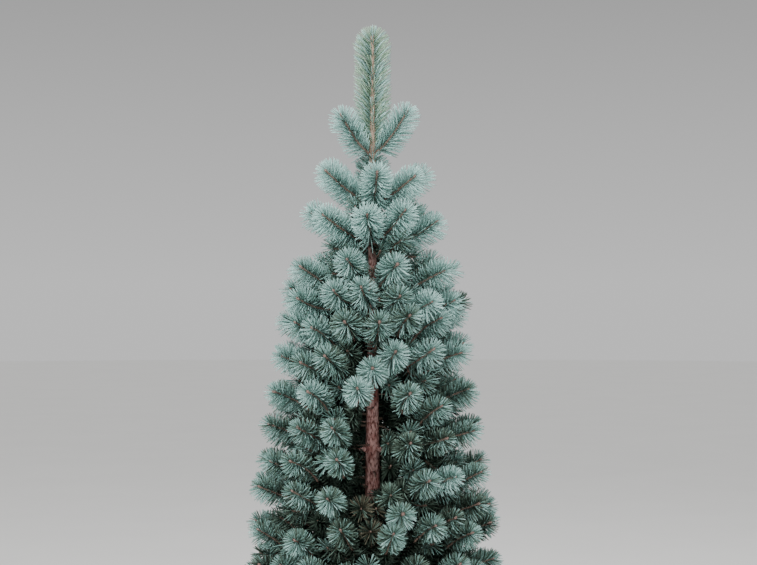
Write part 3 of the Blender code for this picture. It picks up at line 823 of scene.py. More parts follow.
BARK_NAME = "scaly spruce bark"
TRUNK_SIDES = 44
TRUNK_RINGS = 380
TRUNK_RING_POWER = 0.85
TRUNK_SUNK = 0.004
CRACK_SHARE = 0.35
CELL_SPREAD = 7.0
SCALE_HEIGHT = 0.55
SCALE_UNEVENNESS = 0.3
SCALE_TILT = 0.5
MEAN_RELIEF = 0.4
SMOOTH_RADIUS = 0.0035
SCALY_RADIUS = 0.0125
LEAST_RELIEF = 0.08

# Young bark of the leader, with the pegs that carry its needles in a spiral.
YOUNG_DEPTH = 0.300
YOUNG_BARK = 0.0007
PEG_HEIGHT = 0.0008
PEG_RISE = 0.0050
PEG_ROWS = 3
PEG_SLANT = 3.7

# Collar round the root of a branch, in shares of the branch's radius.
COLLAR_HEIGHT = 0.16
COLLAR_WIDTH = 1.9

BOUGH_SIDES = 12
BOUGH_RING_SPACING = 0.0024
BOUGH_ROOT_SHARE = 0.04
BOUGH_WOOD_SHARE = 0.88
BOUGH_RELIEF = 0.45
BOUGH_TAPER_END = 1.15
BOUGH_PATTERN_START = 5.0
BOUGH_PATTERN_STEP = 3.1


def scale_relief(around, along, radius, settings, offset):
    """Height of the bark's scales, from 0 in a crack to about 1, on a grid of points of a limb."""
    relief = np.zeros(around.shape)
    for index in np.ndindex(around.shape):
        spot = Vector((radius[index] * math.cos(around[index]) / settings.flake_width + offset,
                       radius[index] * math.sin(around[index]) / settings.flake_width,
                       along[index] / settings.flake_height))
        distances, centres = noise.voronoi(spot)
        plate = min(1.0, (distances[1] - distances[0]) / CRACK_SHARE)
        lifted = max(-0.5, min(0.5, centres[0].z - spot.z))
        level = noise.cell(centres[0] * CELL_SPREAD)
        relief[index] = plate * (SCALE_HEIGHT + SCALE_UNEVENNESS * level + SCALE_TILT * lifted)
    return relief


def peg_relief(around, along):
    """Height from 0 to 1 of the small pegs that carried or carry needles, in a spiral up the stem."""
    turns = along / PEG_RISE
    pegs = np.cos(around * PEG_ROWS + turns * 2.0 * np.pi) * np.cos(turns * PEG_SLANT - around * 2.0)
    return np.clip(pegs, 0.0, 1.0)


def collar_relief(points):
    """Height of the collars of bark round the roots of the branches."""
    swell = np.zeros(points.shape[:-1])
    for mass in grow_plant():
        depth = depth_of(mass.curve[0])
        root = place(azimuth_of(mass.curve[2]), trunk_radius(depth), depth)
        thickness = BOUGH_ROOT_RADIUS if mass.stem else 2.0 * TWIG_RADIUS
        away = np.linalg.norm(points - np.array(root), axis=-1)
        collar = COLLAR_HEIGHT * thickness * np.exp(-(away / (COLLAR_WIDTH * thickness)) ** 2)
        swell = np.maximum(swell, collar)
    return swell


def build_trunk(settings):
    """Trunk with scaly bark, swollen round each branch."""
    foot_depth = TIP_HEIGHT - SOIL_TOP + TRUNK_SUNK
    shares = np.linspace(0.0, 1.0, TRUNK_RINGS) ** TRUNK_RING_POWER
    depths = TRUNK_TOP_DEPTH + (foot_depth - TRUNK_TOP_DEPTH) * shares
    around = np.tile(even_turns(TRUNK_SIDES), (TRUNK_RINGS, 1))
    along = np.tile(depths[:, None], (1, TRUNK_SIDES))
    smooth = np.array([trunk_radius(depth) for depth in depths])[:, None]
    radius = np.tile(smooth, (1, TRUNK_SIDES))
    size = np.clip((smooth - SMOOTH_RADIUS) / (SCALY_RADIUS - SMOOTH_RADIUS), LEAST_RELIEF, 1.0)
    scales = scale_relief(around, along, radius, settings, 0.0)
    relief = (scales - MEAN_RELIEF) * settings.relief * size
    swell = collar_relief(round_axis(radius, around, TIP_HEIGHT - along))
    young = np.clip((YOUNG_DEPTH - along) / (0.5 * YOUNG_DEPTH), 0.0, 1.0)
    radius = radius + young * (YOUNG_BARK + PEG_HEIGHT * peg_relief(around, along))
    rings = round_axis(radius + relief + swell, around, TIP_HEIGHT - along)
    bundle = Bundle()
    add_tube(bundle, rings[:, ::-1], (0.0, 0.0, TIP_HEIGHT - depths[0]),
             (0.0, 0.0, TIP_HEIGHT - depths[-1]))
    mesh = bundle.mesh("trunk_bark")
    mesh.shade_smooth()
    add_piece("trunk_bark", mesh, flaky_bark(BARK_NAME, settings), ["trunk"])


def build_boughs(settings):
    """Boughs and stems, each from inside the trunk to where its last shoots fork off."""
    bundle = Bundle()
    nodes = []
    for number, mass in enumerate(grow_plant()):
        if not mass.stem:
            continue
        path = bent_path(*mass.curve, first=BOUGH_ROOT_SHARE)
        rings = max(8, round(path_length(path) / BOUGH_RING_SPACING))
        shares = np.linspace(0.0, 1.0, rings)
        taper = (STEM_END_RADIUS - BOUGH_ROOT_RADIUS) * np.minimum(1.0, BOUGH_TAPER_END * shares)
        smooth = BOUGH_ROOT_RADIUS + taper
        radius = np.tile(BOUGH_WOOD_SHARE * smooth[:, None], (1, BOUGH_SIDES))
        around = np.tile(even_turns(BOUGH_SIDES), (rings, 1))
        along = np.tile((shares * path_length(path))[:, None], (1, BOUGH_SIDES))
        place_in_pattern = BOUGH_PATTERN_START + BOUGH_PATTERN_STEP * number
        relief = scale_relief(around, along, radius, settings, place_in_pattern)
        size = BOUGH_RELIEF * settings.relief * radius / BOUGH_ROOT_RADIUS
        add_limb(bundle, path, radius + (relief - MEAN_RELIEF) * size, BOUGH_SIDES)
        if mass.bough:
            nodes.append("bough_" + mass.name)
    mesh = bundle.mesh("bough_bark")
    mesh.shade_smooth()
    add_piece("bough_bark", mesh, bpy.data.materials[BARK_NAME], nodes)


# ---------------------------------------------------------------- twigs and buds

# Twigs: how many rings they have, their radius at the root and at the tip, how much they swell at
# each second ring, and how many sides they have.
Twig = namedtuple("Twig", "rings root tip knob sides")
SINGLE_ROOT_SHARE = 0.4
SINGLE_TWIG = Twig(34, 0.0022, 0.0014, 0.0003, 6)
YOUNG_TWIG = Twig(13, 0.0015, 0.0013, 0.0003, 5)
OLDER_TWIG = Twig(4, 0.0019, 0.0014, 0.0002, 5)
INNER_TWIG = Twig(14, 0.0018, 0.0011, 0.0002, 5)
DEAD_TWIG = Twig(10, 0.0011, 0.0004, 0.0002, 5)

# Buds: length and width, and the outline of their overlapping scales as shares of both.
SHOOT_BUD = (0.0056, 0.0045)
TOP_BUD = (0.0065, 0.0046)
LEADER_BUD = (0.0045, 0.0032)
LEADER_BUD_DEPTHS = (0.0165, 0.018, 0.0195, 0.042, 0.052, 0.068, 0.083, 0.101, 0.118)
LEADER_BUD_RISE = 1.1
LEADER_BUD_TURN = 0.15
LEADER_BUD_ROOT = 0.8
BUD_OUTLINE = ((0.0, 0.62), (0.24, 1.0), (0.27, 0.88), (0.54, 0.92), (0.57, 0.76), (0.82, 0.40))
BUD_SIDES = 6
BUD_SUNK = 0.001
BUD_GROWTH = (0.85, 1.15)
BUD_SEED = 7


def add_twig(bundle, path, twig):
    """Knobbly twig along a path."""
    radii = np.linspace(twig.root, twig.tip, twig.rings) + twig.knob * (np.arange(twig.rings) % 2)
    add_limb(bundle, path, radii, twig.sides)


def build_twigs(settings):
    """Twigs of the shoots and side shoots, from the stem or trunk to the bud."""
    young = Bundle()
    older = Bundle()
    side_shoots = grow_side_shoots()
    nodes = ["leader_needles"]
    for mass in grow_plant():
        nodes.append("mass_" + mass.name)
        if not mass.stem:
            path = mass.shoots[0].path
            add_twig(young, [mass.curve[0].lerp(path[0], SINGLE_ROOT_SHARE)] + path, SINGLE_TWIG)
        for shoot in (mass.shoots if mass.stem else []) + side_shoots[mass.name]:
            split = max(1, round(shoot.needles_from * PATH_STEPS))
            rings = max(OLDER_TWIG.rings, 2 * split)
            add_twig(older, shoot.path[:split + 1], OLDER_TWIG._replace(rings=rings))
            add_twig(young, shoot.path[split:], YOUNG_TWIG)
    for path in grow_inner_shoots():
        add_twig(older, path, INNER_TWIG)
    for path in grow_dead_twigs():
        add_twig(young, path, DEAD_TWIG)
    add_piece("shoot_twigs", young.mesh("shoot_twigs"), young_shoot_bark(settings), nodes)
    add_piece("older_twigs", older.mesh("older_twigs"), second_year_bark(settings))


def add_bud(bundle, base, heading, length, width):
    """Egg-shaped bud whose overlapping scales step in towards its point."""
    shares, widths = np.array(BUD_OUTLINE).T
    rings = len(shares)
    centres = np.array([base + heading * (length * share) for share in shares])
    twist = 0.5 * (np.arange(rings) // 2 % 2)[:, None]
    turns = 2.0 * np.pi * (np.arange(BUD_SIDES)[None, :] + twist) / BUD_SIDES
    outward = rims(*cross_axes(np.tile(np.array(heading), (rings, 1))), turns)
    points = centres[:, None] + outward * (0.5 * width * widths)[:, None, None]
    add_tube(bundle, points, base, base + heading * length)


def build_buds(settings):
    """A bud on each outer shoot, and several round the leader's tip and along it."""
    bundle = Bundle()
    rng = random.Random(BUD_SEED)
    for mass in grow_plant():
        for shoot in mass.shoots:
            tip = shoot.path[-1]
            heading = (tip - shoot.path[-2]).normalized()
            grown = rng.uniform(*BUD_GROWTH)
            add_bud(bundle, tip - heading * BUD_SUNK, heading, *(size * grown for size in SHOOT_BUD))
    top = place(0.0, 0.0, TRUNK_TOP_DEPTH)
    add_bud(bundle, top - Vector((0.0, 0.0, BUD_SUNK)), Vector((0.0, 0.0, 1.0)), *TOP_BUD)
    for number, depth in enumerate(LEADER_BUD_DEPTHS):
        azimuth = (number + LEADER_BUD_TURN) * GOLDEN_ANGLE
        base = place(azimuth, LEADER_BUD_ROOT * trunk_radius(depth), depth)
        heading = Vector((math.sin(azimuth), -math.cos(azimuth), LEADER_BUD_RISE)).normalized()
        add_bud(bundle, base, heading, *LEADER_BUD)
    add_piece("buds", bundle.mesh("buds"), papery_scales(settings))


# ---------------------------------------------------------------- needles

# How the needles of one kind of growth stand: needles to a millimetre, shares of the full length and
# width, angle from the twig at the foot and at the tip, how far they curl forward, how much closer
# together they sit towards the tip, by how much they are shorter there, how many tones darker the
# short ones under the others are, as painted shade between the needles, how many tones darker the
# needles at the foot of the shoot are on average, as painted shade of the needles before them, and
# how far to each side, in twig radii, few needles stand in front of the twig.
Kind = namedtuple(
    "Kind", "per_mm length width lean tip_lean curl crowding closing under_tone ageing parting")
KINDS = {
    "leader": Kind(5.7, 1.16, 1.24, 59, 12, 3, 0.86, 0.0, 0, 0.0, 3.0),
    "shoot": Kind(5.4, 0.94, 1.00, 70, 24, 3, 0.60, 0.26, 1, 1.1, 1.8),
    "single": Kind(5.2, 1.00, 1.20, 60, 16, 3, 0.74, 0.42, 0, 0.6, 3.0),
    "neck": Kind(4.4, 1.00, 1.00, 64, 60, 6, 0.95, 0.1, 1, 0.0, 0.0),
    "side": Kind(3.0, 0.84, 1.05, 68, 34, 4, 0.64, 0.1, 1, 0.6, 0.0),
    "older": Kind(2.6, 0.80, 2.25, 70, 66, 5, 0.95, 0.0, 1, 0.0, 0.0),
    "inner": Kind(3.8, 0.90, 2.25, 70, 52, 5, 0.95, 0.1, 1, 0.0, 0.0),
    "trunk": Kind(9.0, 0.90, 2.25, 76, 74, 5, 0.95, 0.0, 1, 0.0, 0.0),
}
OUTER_KINDS = ("leader", "shoot", "single", "neck")
HIDDEN_KINDS = ("older", "inner", "trunk")
Spray = namedtuple("Spray", "kind path first last radius tone node")

# A needle's rings, as shares of its length and width. The hidden ones are plain three-sided points.
NEEDLE_RINGS = ((0.0, 0.80), (0.88, 0.96))
HIDDEN_RINGS = ((0.0, 1.25),)
NEEDLE_SIDES = 3

# Tones, from light to dark, and where each is dealt out. The shaded and old tones are darker partly
# for the needles' age and partly as painted shade inside the crown, and inner growth above the green
# depth keeps lighter tones. Frosted and pale tones are dealt out more near the top of the crown,
# partly for the young growth's bloom and partly as painted light from above.
TONES = ("frosted", "pale", "fresh", "mature", "shaded", "old", "dry", "leader")
FROSTED, PALE, FRESH, MATURE, SHADED, OLD_AND_SHADED, DRY, LEADER = range(len(TONES))
DRY_MIX = (DRY, DRY, SHADED, MATURE)
LEADER_MIX = (PALE, FROSTED, LEADER, LEADER, LEADER, LEADER)
TONE_SEED = 311
YOUNG_AND_LIT_CROWN_DEPTH = 0.55
FROSTED_GAIN = 5.0
PALE_CHANCE = 0.12
PALE_GAIN = 1.9
FRESH_CHANCE = 0.8
MATURE_CHANCE = 0.30
GREEN_DEPTH = 0.345
DRY_HALF_WIDTH = 0.018
DRY_DEPTHS = (0.565, 0.650)

# Where sprays start along their path, the radius of their twig, and the sprays on the trunk's neck.
OLDER_START = 0.05
SIDE_OLDER_START = 0.1
INNER_START = 0.12
STEM_START = 0.18
BARE_SINGLE_SHARE = 0.4
YOUNG_RADIUS = 0.0010
OLDER_RADIUS = 0.0014
STEM_RADIUS = 0.0025
LEADER_RADIUS = 0.0018
TRUNK_NEEDLE_RADIUS = 0.0090
TRUNK_NEEDLE_DEPTHS = (0.700, 0.320)
NECK_SPRAYS = ((0.0, 0.0040, FRESH), (0.35, 0.0036, PALE))

# Unevenness of the needles as standard deviations, how they lean, shorten and thin out, and which
# sides of a twig count as its front, back and underside.
UNEVEN_TURN = 0.06
UNEVEN_LEAN = 2.0
UNEVEN_CURL = 1.3
UNEVEN_LENGTH = 0.025
UNEVEN_WIDTH = 0.06
UPPER_LEAN = 4.0
TIP_LIFT = 0.03
UPPER_SHORTFALL = 0.06
FOOT_LENGTH = 0.64
FOOT_SHARE = 0.55
LOWER_DEPTH = 0.38
LOWER_FADE = 0.12
LOWER_SHORTFALL = 0.14
# Share and length of the short needles under the others, which take darker tones as painted shade
# between the needles.
UNDER_SHARE = 0.12
UNDER_LENGTH = 0.66
UNDERSIDE_THINNING = 0.22
PARTING_SHARE = 0.8
FRONT_SIDE = -0.3
LEAST_LEVEL = 0.3
BACK_SIDE = 0.2
NECK_FRONT = -0.4
NECK_FRONT_SHARE = 0.3
UNDERSIDE = -0.35
ROOT_DEPTH_SHARE = 0.6
CLOSING_LENGTH = 0.010
CLOSING_POWER = 1.6
LEADER_DOME = 0.0222

# Lengths that are tried for a needle, until its tip is nearer to its own twig than to any other,
# give or take a margin, and the spacing of the points that stand for a twig.
TRIAL_LENGTHS = (1.0, 0.82, 0.64, 0.48)
OWN_SPACE_MARGIN = 0.0015
OUTER_SPACE_MARGIN = 0.0045
TRUNK_SPACE_MARGIN = 0.0200
AXIS_SPACING = 0.004
Space = namedtuple("Space", "tree owners margin")


def shoot_tone(rng, path):
    """Tone of a main shoot: more often frosted or pale the nearer it is to the top of the crown, partly
    for the young growth's bloom and partly as painted light from above.
    """
    young = max(0.0, 1.0 - depth_of(path[-1]) / YOUNG_AND_LIT_CROWN_DEPTH)
    worn = max(0.0, 1.0 - PALE_GAIN * young)
    chances = (FROSTED_GAIN * young ** 3, PALE_CHANCE + PALE_GAIN * young, FRESH_CHANCE * worn,
               MATURE_CHANCE * worn ** 2)
    return rng.choices((FROSTED, PALE, FRESH, MATURE), chances)[0]


def side_tones(rng, path):
    """Tones of a side shoot and of its older foot: the shoot darker deep inside as painted shade, its
    foot darker still, partly for age and partly as painted shade, and dry in one place in front.
    """
    tip = path[-1]
    depth = depth_of(tip)
    deep = crown_reach(depth) - tip.xy.length > 0.5 * sum(SIDE_REACH_SHORT)
    withered = in_front_gap(tip, DRY_DEPTHS, DRY_HALF_WIDTH)
    tone = DRY if withered else SHADED if deep else rng.choice((FRESH, MATURE))
    return (FRESH, MATURE) if depth < GREEN_DEPTH else (tone, OLD_AND_SHADED)


def inner_tone(rng, path, tones):
    """Tone of an inner twig: one of the dark tones, partly for age and partly as painted shade inside
    the crown, but the lighter mature tone near the top of the crown, where nothing covers it.
    """
    tone = rng.choice(tones)
    return MATURE if depth_of(path[-1]) < GREEN_DEPTH else tone


def list_sprays():
    """Every spray of needles with its tone: the leader, shoots, side shoots and older twigs."""
    rng = random.Random(TONE_SEED)
    leader = upright_path(*LEADER_DEPTHS)
    sprays = [Spray("leader", leader, 0.0, 1.0, LEADER_RADIUS, PALE, "leader_needles")]
    side_shoots = grow_side_shoots()
    for mass in grow_plant():
        name = "mass_" + mass.name
        for path, start in mass.shoots:
            tone = shoot_tone(rng, path)
            if not mass.stem:
                # Singles, in the top whorls, take the frosted tone, partly for their bloom and partly as
                # painted light from above.
                first = BARE_SINGLE_SHARE * start
                sprays.append(Spray("single", path, first, 1.0, YOUNG_RADIUS, FROSTED, name))
                continue
            sprays.append(Spray("shoot", path, start, 1.0, YOUNG_RADIUS, tone, name))
            tone = inner_tone(rng, path, (SHADED, OLD_AND_SHADED))
            sprays.append(Spray("older", path, OLDER_START, start, OLDER_RADIUS, tone, name))
        for path, start in side_shoots[mass.name]:
            tone, foot_tone = side_tones(rng, path)
            sprays.append(Spray("side", path, start, 1.0, YOUNG_RADIUS, tone, name))
            sprays.append(Spray("older", path, SIDE_OLDER_START, start, OLDER_RADIUS, foot_tone, name))
        if mass.stem:
            stem = bent_path(*mass.curve, first=STEM_START)
            tone = inner_tone(rng, stem, (OLD_AND_SHADED, OLD_AND_SHADED, DRY))
            sprays.append(Spray("inner", stem, 0.0, 1.0, STEM_RADIUS, tone, name))
    for path in grow_inner_shoots():
        tone = inner_tone(rng, path, (OLD_AND_SHADED, OLD_AND_SHADED, SHADED))
        sprays.append(Spray("inner", path, INNER_START, 1.0, OLDER_RADIUS, tone, "leader_needles"))
    neck = upright_path(NECK_FOOT_DEPTH, LEADER_DEPTHS[0])
    for first, radius, tone in NECK_SPRAYS:
        sprays.append(Spray("neck", neck, first, 1.0, radius, tone, "leader_needles"))
    # Dark needles round the back of the trunk, in the old tone: partly old needles and partly painted
    # shade inside the crown.
    trunk = upright_path(*TRUNK_NEEDLE_DEPTHS)
    sprays.append(Spray("trunk", trunk, 0.0, 1.0, TRUNK_NEEDLE_RADIUS, OLD_AND_SHADED, "leader_needles"))
    return sprays


def length_to_dome(heights, lean):
    """Length at which needles on the leader end on its round top, and no limit below the dome."""
    above = heights - (TIP_HEIGHT - LEADER_DOME)
    level = above * np.cos(lean)
    length = np.sqrt(np.maximum(level ** 2 - above ** 2 + LEADER_DOME ** 2, 0.0)) - level
    return np.where(above + LEADER_DOME / np.tan(lean) > 0.0, length, 1.0)


def hides_twig(needles, tangents, outward, half_width):
    """True for the needles that stand between a twig and the front and would cover the twig there."""
    level = np.maximum(np.hypot(tangents[:, 0], tangents[:, 2]), LEAST_LEVEL)
    aside = np.abs(needles[:, 0] * tangents[:, 2] - needles[:, 2] * tangents[:, 0]) * 0.5 / level
    return (outward[:, 1] < FRONT_SIDE) & (aside < half_width)


def needle_sizes(rng, spray, settings, shape):
    """Lengths and widths of a spray's needles, and which of them are short ones under the others."""
    kind = KINDS[spray.kind]
    along, closing, upper, heights, lean = shape
    count = len(along)
    grown = 1.0 - UPPER_SHORTFALL * upper - kind.closing * closing
    if spray.kind in ("shoot", "side"):
        grown *= FOOT_LENGTH + (1.0 - FOOT_LENGTH) * np.minimum(1.0, along / FOOT_SHARE)
    if spray.kind == "shoot":
        lower = min(1.0, max(0.0, (depth_of(spray.path[-1]) - LOWER_DEPTH) / LOWER_FADE))
        grown *= 1.0 - LOWER_SHORTFALL * lower
    length = settings.length * kind.length * grown
    if spray.kind == "leader":
        length = np.minimum(length, length_to_dome(heights, lean))
    length *= rng.normal(1.0, UNEVEN_LENGTH, count)
    # Short needles under the others, which later take a darker tone as painted shade between the
    # needles.
    under = rng.uniform(0.0, 1.0, count) < UNDER_SHARE
    length *= np.where(under, UNDER_LENGTH, 1.0)
    width = settings.width * kind.width * rng.normal(1.0, UNEVEN_WIDTH, count)
    return length, width, under


def needles_kept(rng, spray, needles, tangents, outward):
    """False for the needles left out: some below a twig or before it, and those before the trunk."""
    kind = KINDS[spray.kind]
    count = len(outward)
    keep = rng.uniform(0.0, 1.0, count) < 1.0 + UNDERSIDE_THINNING * np.minimum(outward[:, 2], 0.0)
    if kind.parting:
        hides = hides_twig(needles, tangents, outward, kind.parting * spray.radius)
        keep &= ~(hides & (rng.uniform(0.0, 1.0, count) < PARTING_SHARE))
    if spray.kind == "trunk":
        keep &= outward[:, 1] > BACK_SIDE
    if spray.kind == "neck":
        keep &= (outward[:, 1] > NECK_FRONT) | (rng.uniform(0.0, 1.0, count) < NECK_FRONT_SHARE)
    return keep


def needle_tones(rng, spray, order, upper, under):
    """Tones dealt out to a spray's needles: darker towards its foot as painted shade of the needles
    before them, lighter on its underside as painted light, and darker for the short needles under the
    others as painted shade between them.
    """
    kind = KINDS[spray.kind]
    count = len(order)
    tones = spray.tone + rng.choice((-1, 0, 0, 1), count)
    # Painted shade: needles nearer the foot of the shoot take darker tones.
    tones += (rng.uniform(0.0, 1.0, count) + kind.ageing * (1.0 - order)).astype(int)
    # Painted light: needles on the underside of outer twigs take lighter tones.
    if spray.kind in OUTER_KINDS:
        tones -= (upper < UNDERSIDE) * rng.choice((0, 0, 1, 2), count)
    tones = np.clip(tones, FROSTED, OLD_AND_SHADED)
    if spray.tone == DRY:
        tones = rng.choice(DRY_MIX, count)
    if spray.kind == "leader":
        tones = rng.choice(LEADER_MIX, count)
    # The short needles under the others take a darker tone, painted shade between the needles.
    return np.where(under, np.clip(spray.tone + kind.under_tone, FROSTED, OLD_AND_SHADED), tones)


def seat_needles(rng, spray, settings):
    """Roots, first and last directions, lengths, widths, twig directions and tones of the needles."""
    kind = KINDS[spray.kind]
    span = path_length(spray.path) * (spray.last - spray.first)
    count = int(span * 1000.0 * kind.per_mm * settings.density)
    if count < 1:
        return None
    order = (np.arange(count) + 0.5) / count
    along = order ** kind.crowding
    centres, tangents = points_on(spray.path, spray.first + (spray.last - spray.first) * along)
    turns = np.arange(count) * GOLDEN_ANGLE + rng.uniform(0.0, 2.0 * np.pi)
    turns += rng.normal(0.0, UNEVEN_TURN, count)
    across, square = cross_axes(tangents)
    outward = np.cos(turns)[:, None] * across + np.sin(turns)[:, None] * square
    upper = outward[:, 2]
    closing = np.clip(1.0 - span * (1.0 - along) / CLOSING_LENGTH, 0.0, 1.0) ** CLOSING_POWER
    lean = np.radians(kind.lean + (kind.tip_lean - kind.lean) * closing - UPPER_LEAN * upper
                      + rng.normal(0.0, UNEVEN_LEAN, count))
    curl = np.radians(kind.curl + rng.normal(0.0, UNEVEN_CURL, count))
    first, last = (outward * np.sin(angle)[:, None] + tangents * np.cos(angle)[:, None]
                   for angle in (lean, lean - curl))
    last[:, 2] += TIP_LIFT
    shape = (along, closing, upper, centres[:, 2], lean)
    length, width, under = needle_sizes(rng, spray, settings, shape)
    keep = needles_kept(rng, spray, first * length[:, None], tangents, outward)
    tones = needle_tones(rng, spray, order, upper, under)
    roots = centres + outward * (ROOT_DEPTH_SHARE * spray.radius)
    parts = (roots, unit(first), unit(last), length, width, tangents, tones)
    return [part[keep] for part in parts]


def fit_needles(parts, own_points, owner, outer, space):
    """Shorten or drop the needles whose tips would lie nearer to another spray's twig."""
    roots, first, last, length = parts[:4]
    chosen = np.zeros(len(roots))
    for trial in TRIAL_LENGTHS:
        tips = roots + (first + last) * (0.5 * trial * length)[:, None]
        own = np.sqrt(((tips[:, None, :] - own_points[None, :, :]) ** 2).sum(-1)).min(1)
        for index in np.flatnonzero(chosen == 0.0):
            if not outer and in_front_gap(tips[index], STEM_DEPTHS, STEM_CORRIDOR):
                continue
            _, nearest, distance = space.tree.find(tips[index])
            if space.owners[nearest] == owner or own[index] <= distance + space.margin:
                chosen[index] = trial
    kept = chosen > 0.0
    parts[3] = length * chosen
    return [part[kept] for part in parts]


def needle_pattern(rings):
    """Corner numbers of one needle: its foot, the sides between its rings, and its point."""
    ring = [(side, (side + 1) % NEEDLE_SIDES) for side in range(NEEDLE_SIDES)]
    pattern = [[0, 2, 1]]
    for level in range(rings - 1):
        low, high = level * NEEDLE_SIDES, (level + 1) * NEEDLE_SIDES
        for side, after in ring:
            pattern += [[low + side, low + after, high + after], [low + side, high + after, high + side]]
    top, point = (rings - 1) * NEEDLE_SIDES, rings * NEEDLE_SIDES
    return np.array(pattern + [[top + side, top + after, point] for side, after in ring])


def needle_arrays(parts, stations, turn):
    """Points and corner numbers of slim three-sided needles that bend forward to a point."""
    roots, first, last, length, width, tangents = parts
    count = len(roots)
    along, thick = np.array(stations).T[:, None, :, None]
    middle = roots + first * (0.5 * length)[:, None]
    tips = middle + last * (0.5 * length)[:, None]
    rest = 1.0 - along
    centres = (rest ** 2 * roots[:, None] + 2.0 * rest * along * middle[:, None]
               + along ** 2 * tips[:, None])
    heading = unit(rest * first[:, None] + along * last[:, None])
    across = unit(np.cross(heading, tangents[:, None]))
    outward = rims(across, np.cross(heading, across), even_turns(NEEDLE_SIDES) + turn)
    rings = centres[:, :, None] + outward * (0.5 * thick * width[:, None, None])[..., None]
    points = np.concatenate([rings.reshape(count, -1, 3), tips[:, None]], axis=1)
    starts = np.arange(count) * points.shape[1]
    return points, needle_pattern(len(stations))[None] + starts[:, None, None]


def spray_spaces(sprays):
    """Axis points of each spray, whose twig it stands on, and the space round outer and all axes."""
    axes = []
    for spray in sprays:
        count = max(4, round(path_length(spray.path) * (spray.last - spray.first) / AXIS_SPACING))
        axes.append(points_on(spray.path, np.linspace(spray.first, spray.last, count))[0])
    by_tip = {spray.path[-1][:]: owner for owner, spray in enumerate(sprays)}
    same = [by_tip[spray.path[-1][:]] for spray in sprays]
    spaces = {}
    for outer, margin in ((True, OUTER_SPACE_MARGIN), (False, OWN_SPACE_MARGIN)):
        chosen = [owner for owner, spray in enumerate(sprays) if spray.kind in OUTER_KINDS or not outer]
        tree = tree_of([Vector(point) for owner in chosen for point in axes[owner]])
        spaces[outer] = Space(tree, [same[owner] for owner in chosen for _ in axes[owner]], margin)
    return axes, same, spaces


def build_needles(settings):
    """All needles, joined by tone into pieces."""
    sprays = list_sprays()
    axes, same, spaces = spray_spaces(sprays)
    rng = np.random.default_rng(settings.seed)
    pieces = [[(Bundle(), set())] for _ in TONES]
    for owner, spray in enumerate(sprays):
        parts = seat_needles(rng, spray, settings)
        if parts is None:
            continue
        outer = spray.kind in OUTER_KINDS
        space = spaces[outer]
        if spray.kind == "trunk":
            space = space._replace(margin=TRUNK_SPACE_MARGIN)
        *parts, tones = fit_needles(parts, axes[owner], same[owner], outer, space)
        turn = rng.uniform(0.0, 2.0)
        stations = HIDDEN_RINGS if spray.kind in HIDDEN_KINDS else NEEDLE_RINGS
        for tone in np.unique(tones):
            points, faces = needle_arrays([part[tones == tone] for part in parts], stations, turn)
            if pieces[tone][-1][0].triangles + len(faces) * faces.shape[1] > MAX_TRIANGLES:
                pieces[tone].append((Bundle(), set()))
            bundle, nodes = pieces[tone][-1]
            bundle.add(points, faces)
            nodes.add(spray.node)
    for name, bundles in zip(TONES, pieces):
        material = waxy_needle(f"waxy needles {name}", getattr(settings, name)[:])
        for number, (bundle, nodes) in enumerate(bundles, start=1):
            if bundle.triangles:
                piece_name = f"needles_{name}_{number}"
                add_piece(piece_name, bundle.mesh(piece_name), material, sorted(nodes))


# ---------------------------------------------------------------- pot and soil

POT_FOOT_RADIUS = 0.096
POT_SHOULDER_RADIUS = 0.134
POT_RIM_HEIGHT = 0.044
POT_WALL = 0.009
POT_FLOOR = 0.014
POT_EDGE = 0.003
POT_SIDES = 100
POT_RING_SPACING = 0.0045
POT_SHOULDER_HEIGHT = POT_HEIGHT - POT_RIM_HEIGHT
POT_MOUTH_RADIUS = POT_RIM_RADIUS - POT_WALL - POT_EDGE
CORNER_POINTS = 5
THROWING_DEPTH = 0.00022
THROWING_PITCH = 0.0122
THROWING_DRIFT = 90.0
THROWING_MARGIN = 0.004
DRAIN_RADIUS = 0.008
DRAIN_RING_RADIUS = 0.055
DRAIN_COUNT = 3
DRAIN_SIDES = 24
DRAIN_REACH = (-0.02, 0.04)
SHARP_EDGE = math.radians(50)

SOIL_GAP = 0.001
SOIL_RINGS = 54
SOIL_SIDES = 150
SOIL_FALL = 0.006
SOIL_LEVEL_SHARE = 0.6
SOIL_SKIRT_SHARE = 0.93
SOIL_SKIRT_DEPTH = 0.03
LUMPS_PER_METRE = 160.0
LUMP_FRACTAL = (0.8, 2.1, 4)
LUMP_SHARE = 0.55
SWELLS_PER_METRE = 28.0
SWELL_SHARE = 0.8
CRUMB_TRIES = 500
CRUMB_SIZES = (0.0008, 0.0030)
CRUMB_SEED = 12
CRUMB_SIDES = 6
CRUMB_LEVELS = (-0.6, 0.0, 0.62)
CRUMB_HEIGHT = 0.8
CRUMB_RISE = 0.3
CRUMB_UNEVENNESS = (0.75, 1.25)
TRUNK_CLEARANCE = 0.022
WALL_CLEARANCE = 0.004


def rounded(profile, edge):
    """Profile with each corner rounded, and long runs cut into short steps for the throwing marks."""
    out = [profile[0]]
    for before, corner, after in zip(profile, profile[1:], profile[2:]):
        before, corner, after = (np.array(point, float) for point in (before, corner, after))
        back, ahead = np.linalg.norm(corner - before), np.linalg.norm(after - corner)
        cut = min(edge, 0.45 * back, 0.45 * ahead)
        start = corner + (before - corner) / back * cut
        end = corner + (after - corner) / ahead * cut
        for share in np.linspace(0.0, 1.0, CORNER_POINTS):
            out.append((1 - share) ** 2 * start + 2 * share * (1 - share) * corner + share ** 2 * end)
    out.append(profile[-1])
    fine = []
    for a, b in zip(out, out[1:]):
        a, b = np.array(a), np.array(b)
        steps = max(1, int(np.hypot(*(b - a)) / POT_RING_SPACING))
        fine += [a + (b - a) * step / steps for step in range(steps)]
    return np.array(fine + [out[-1]])


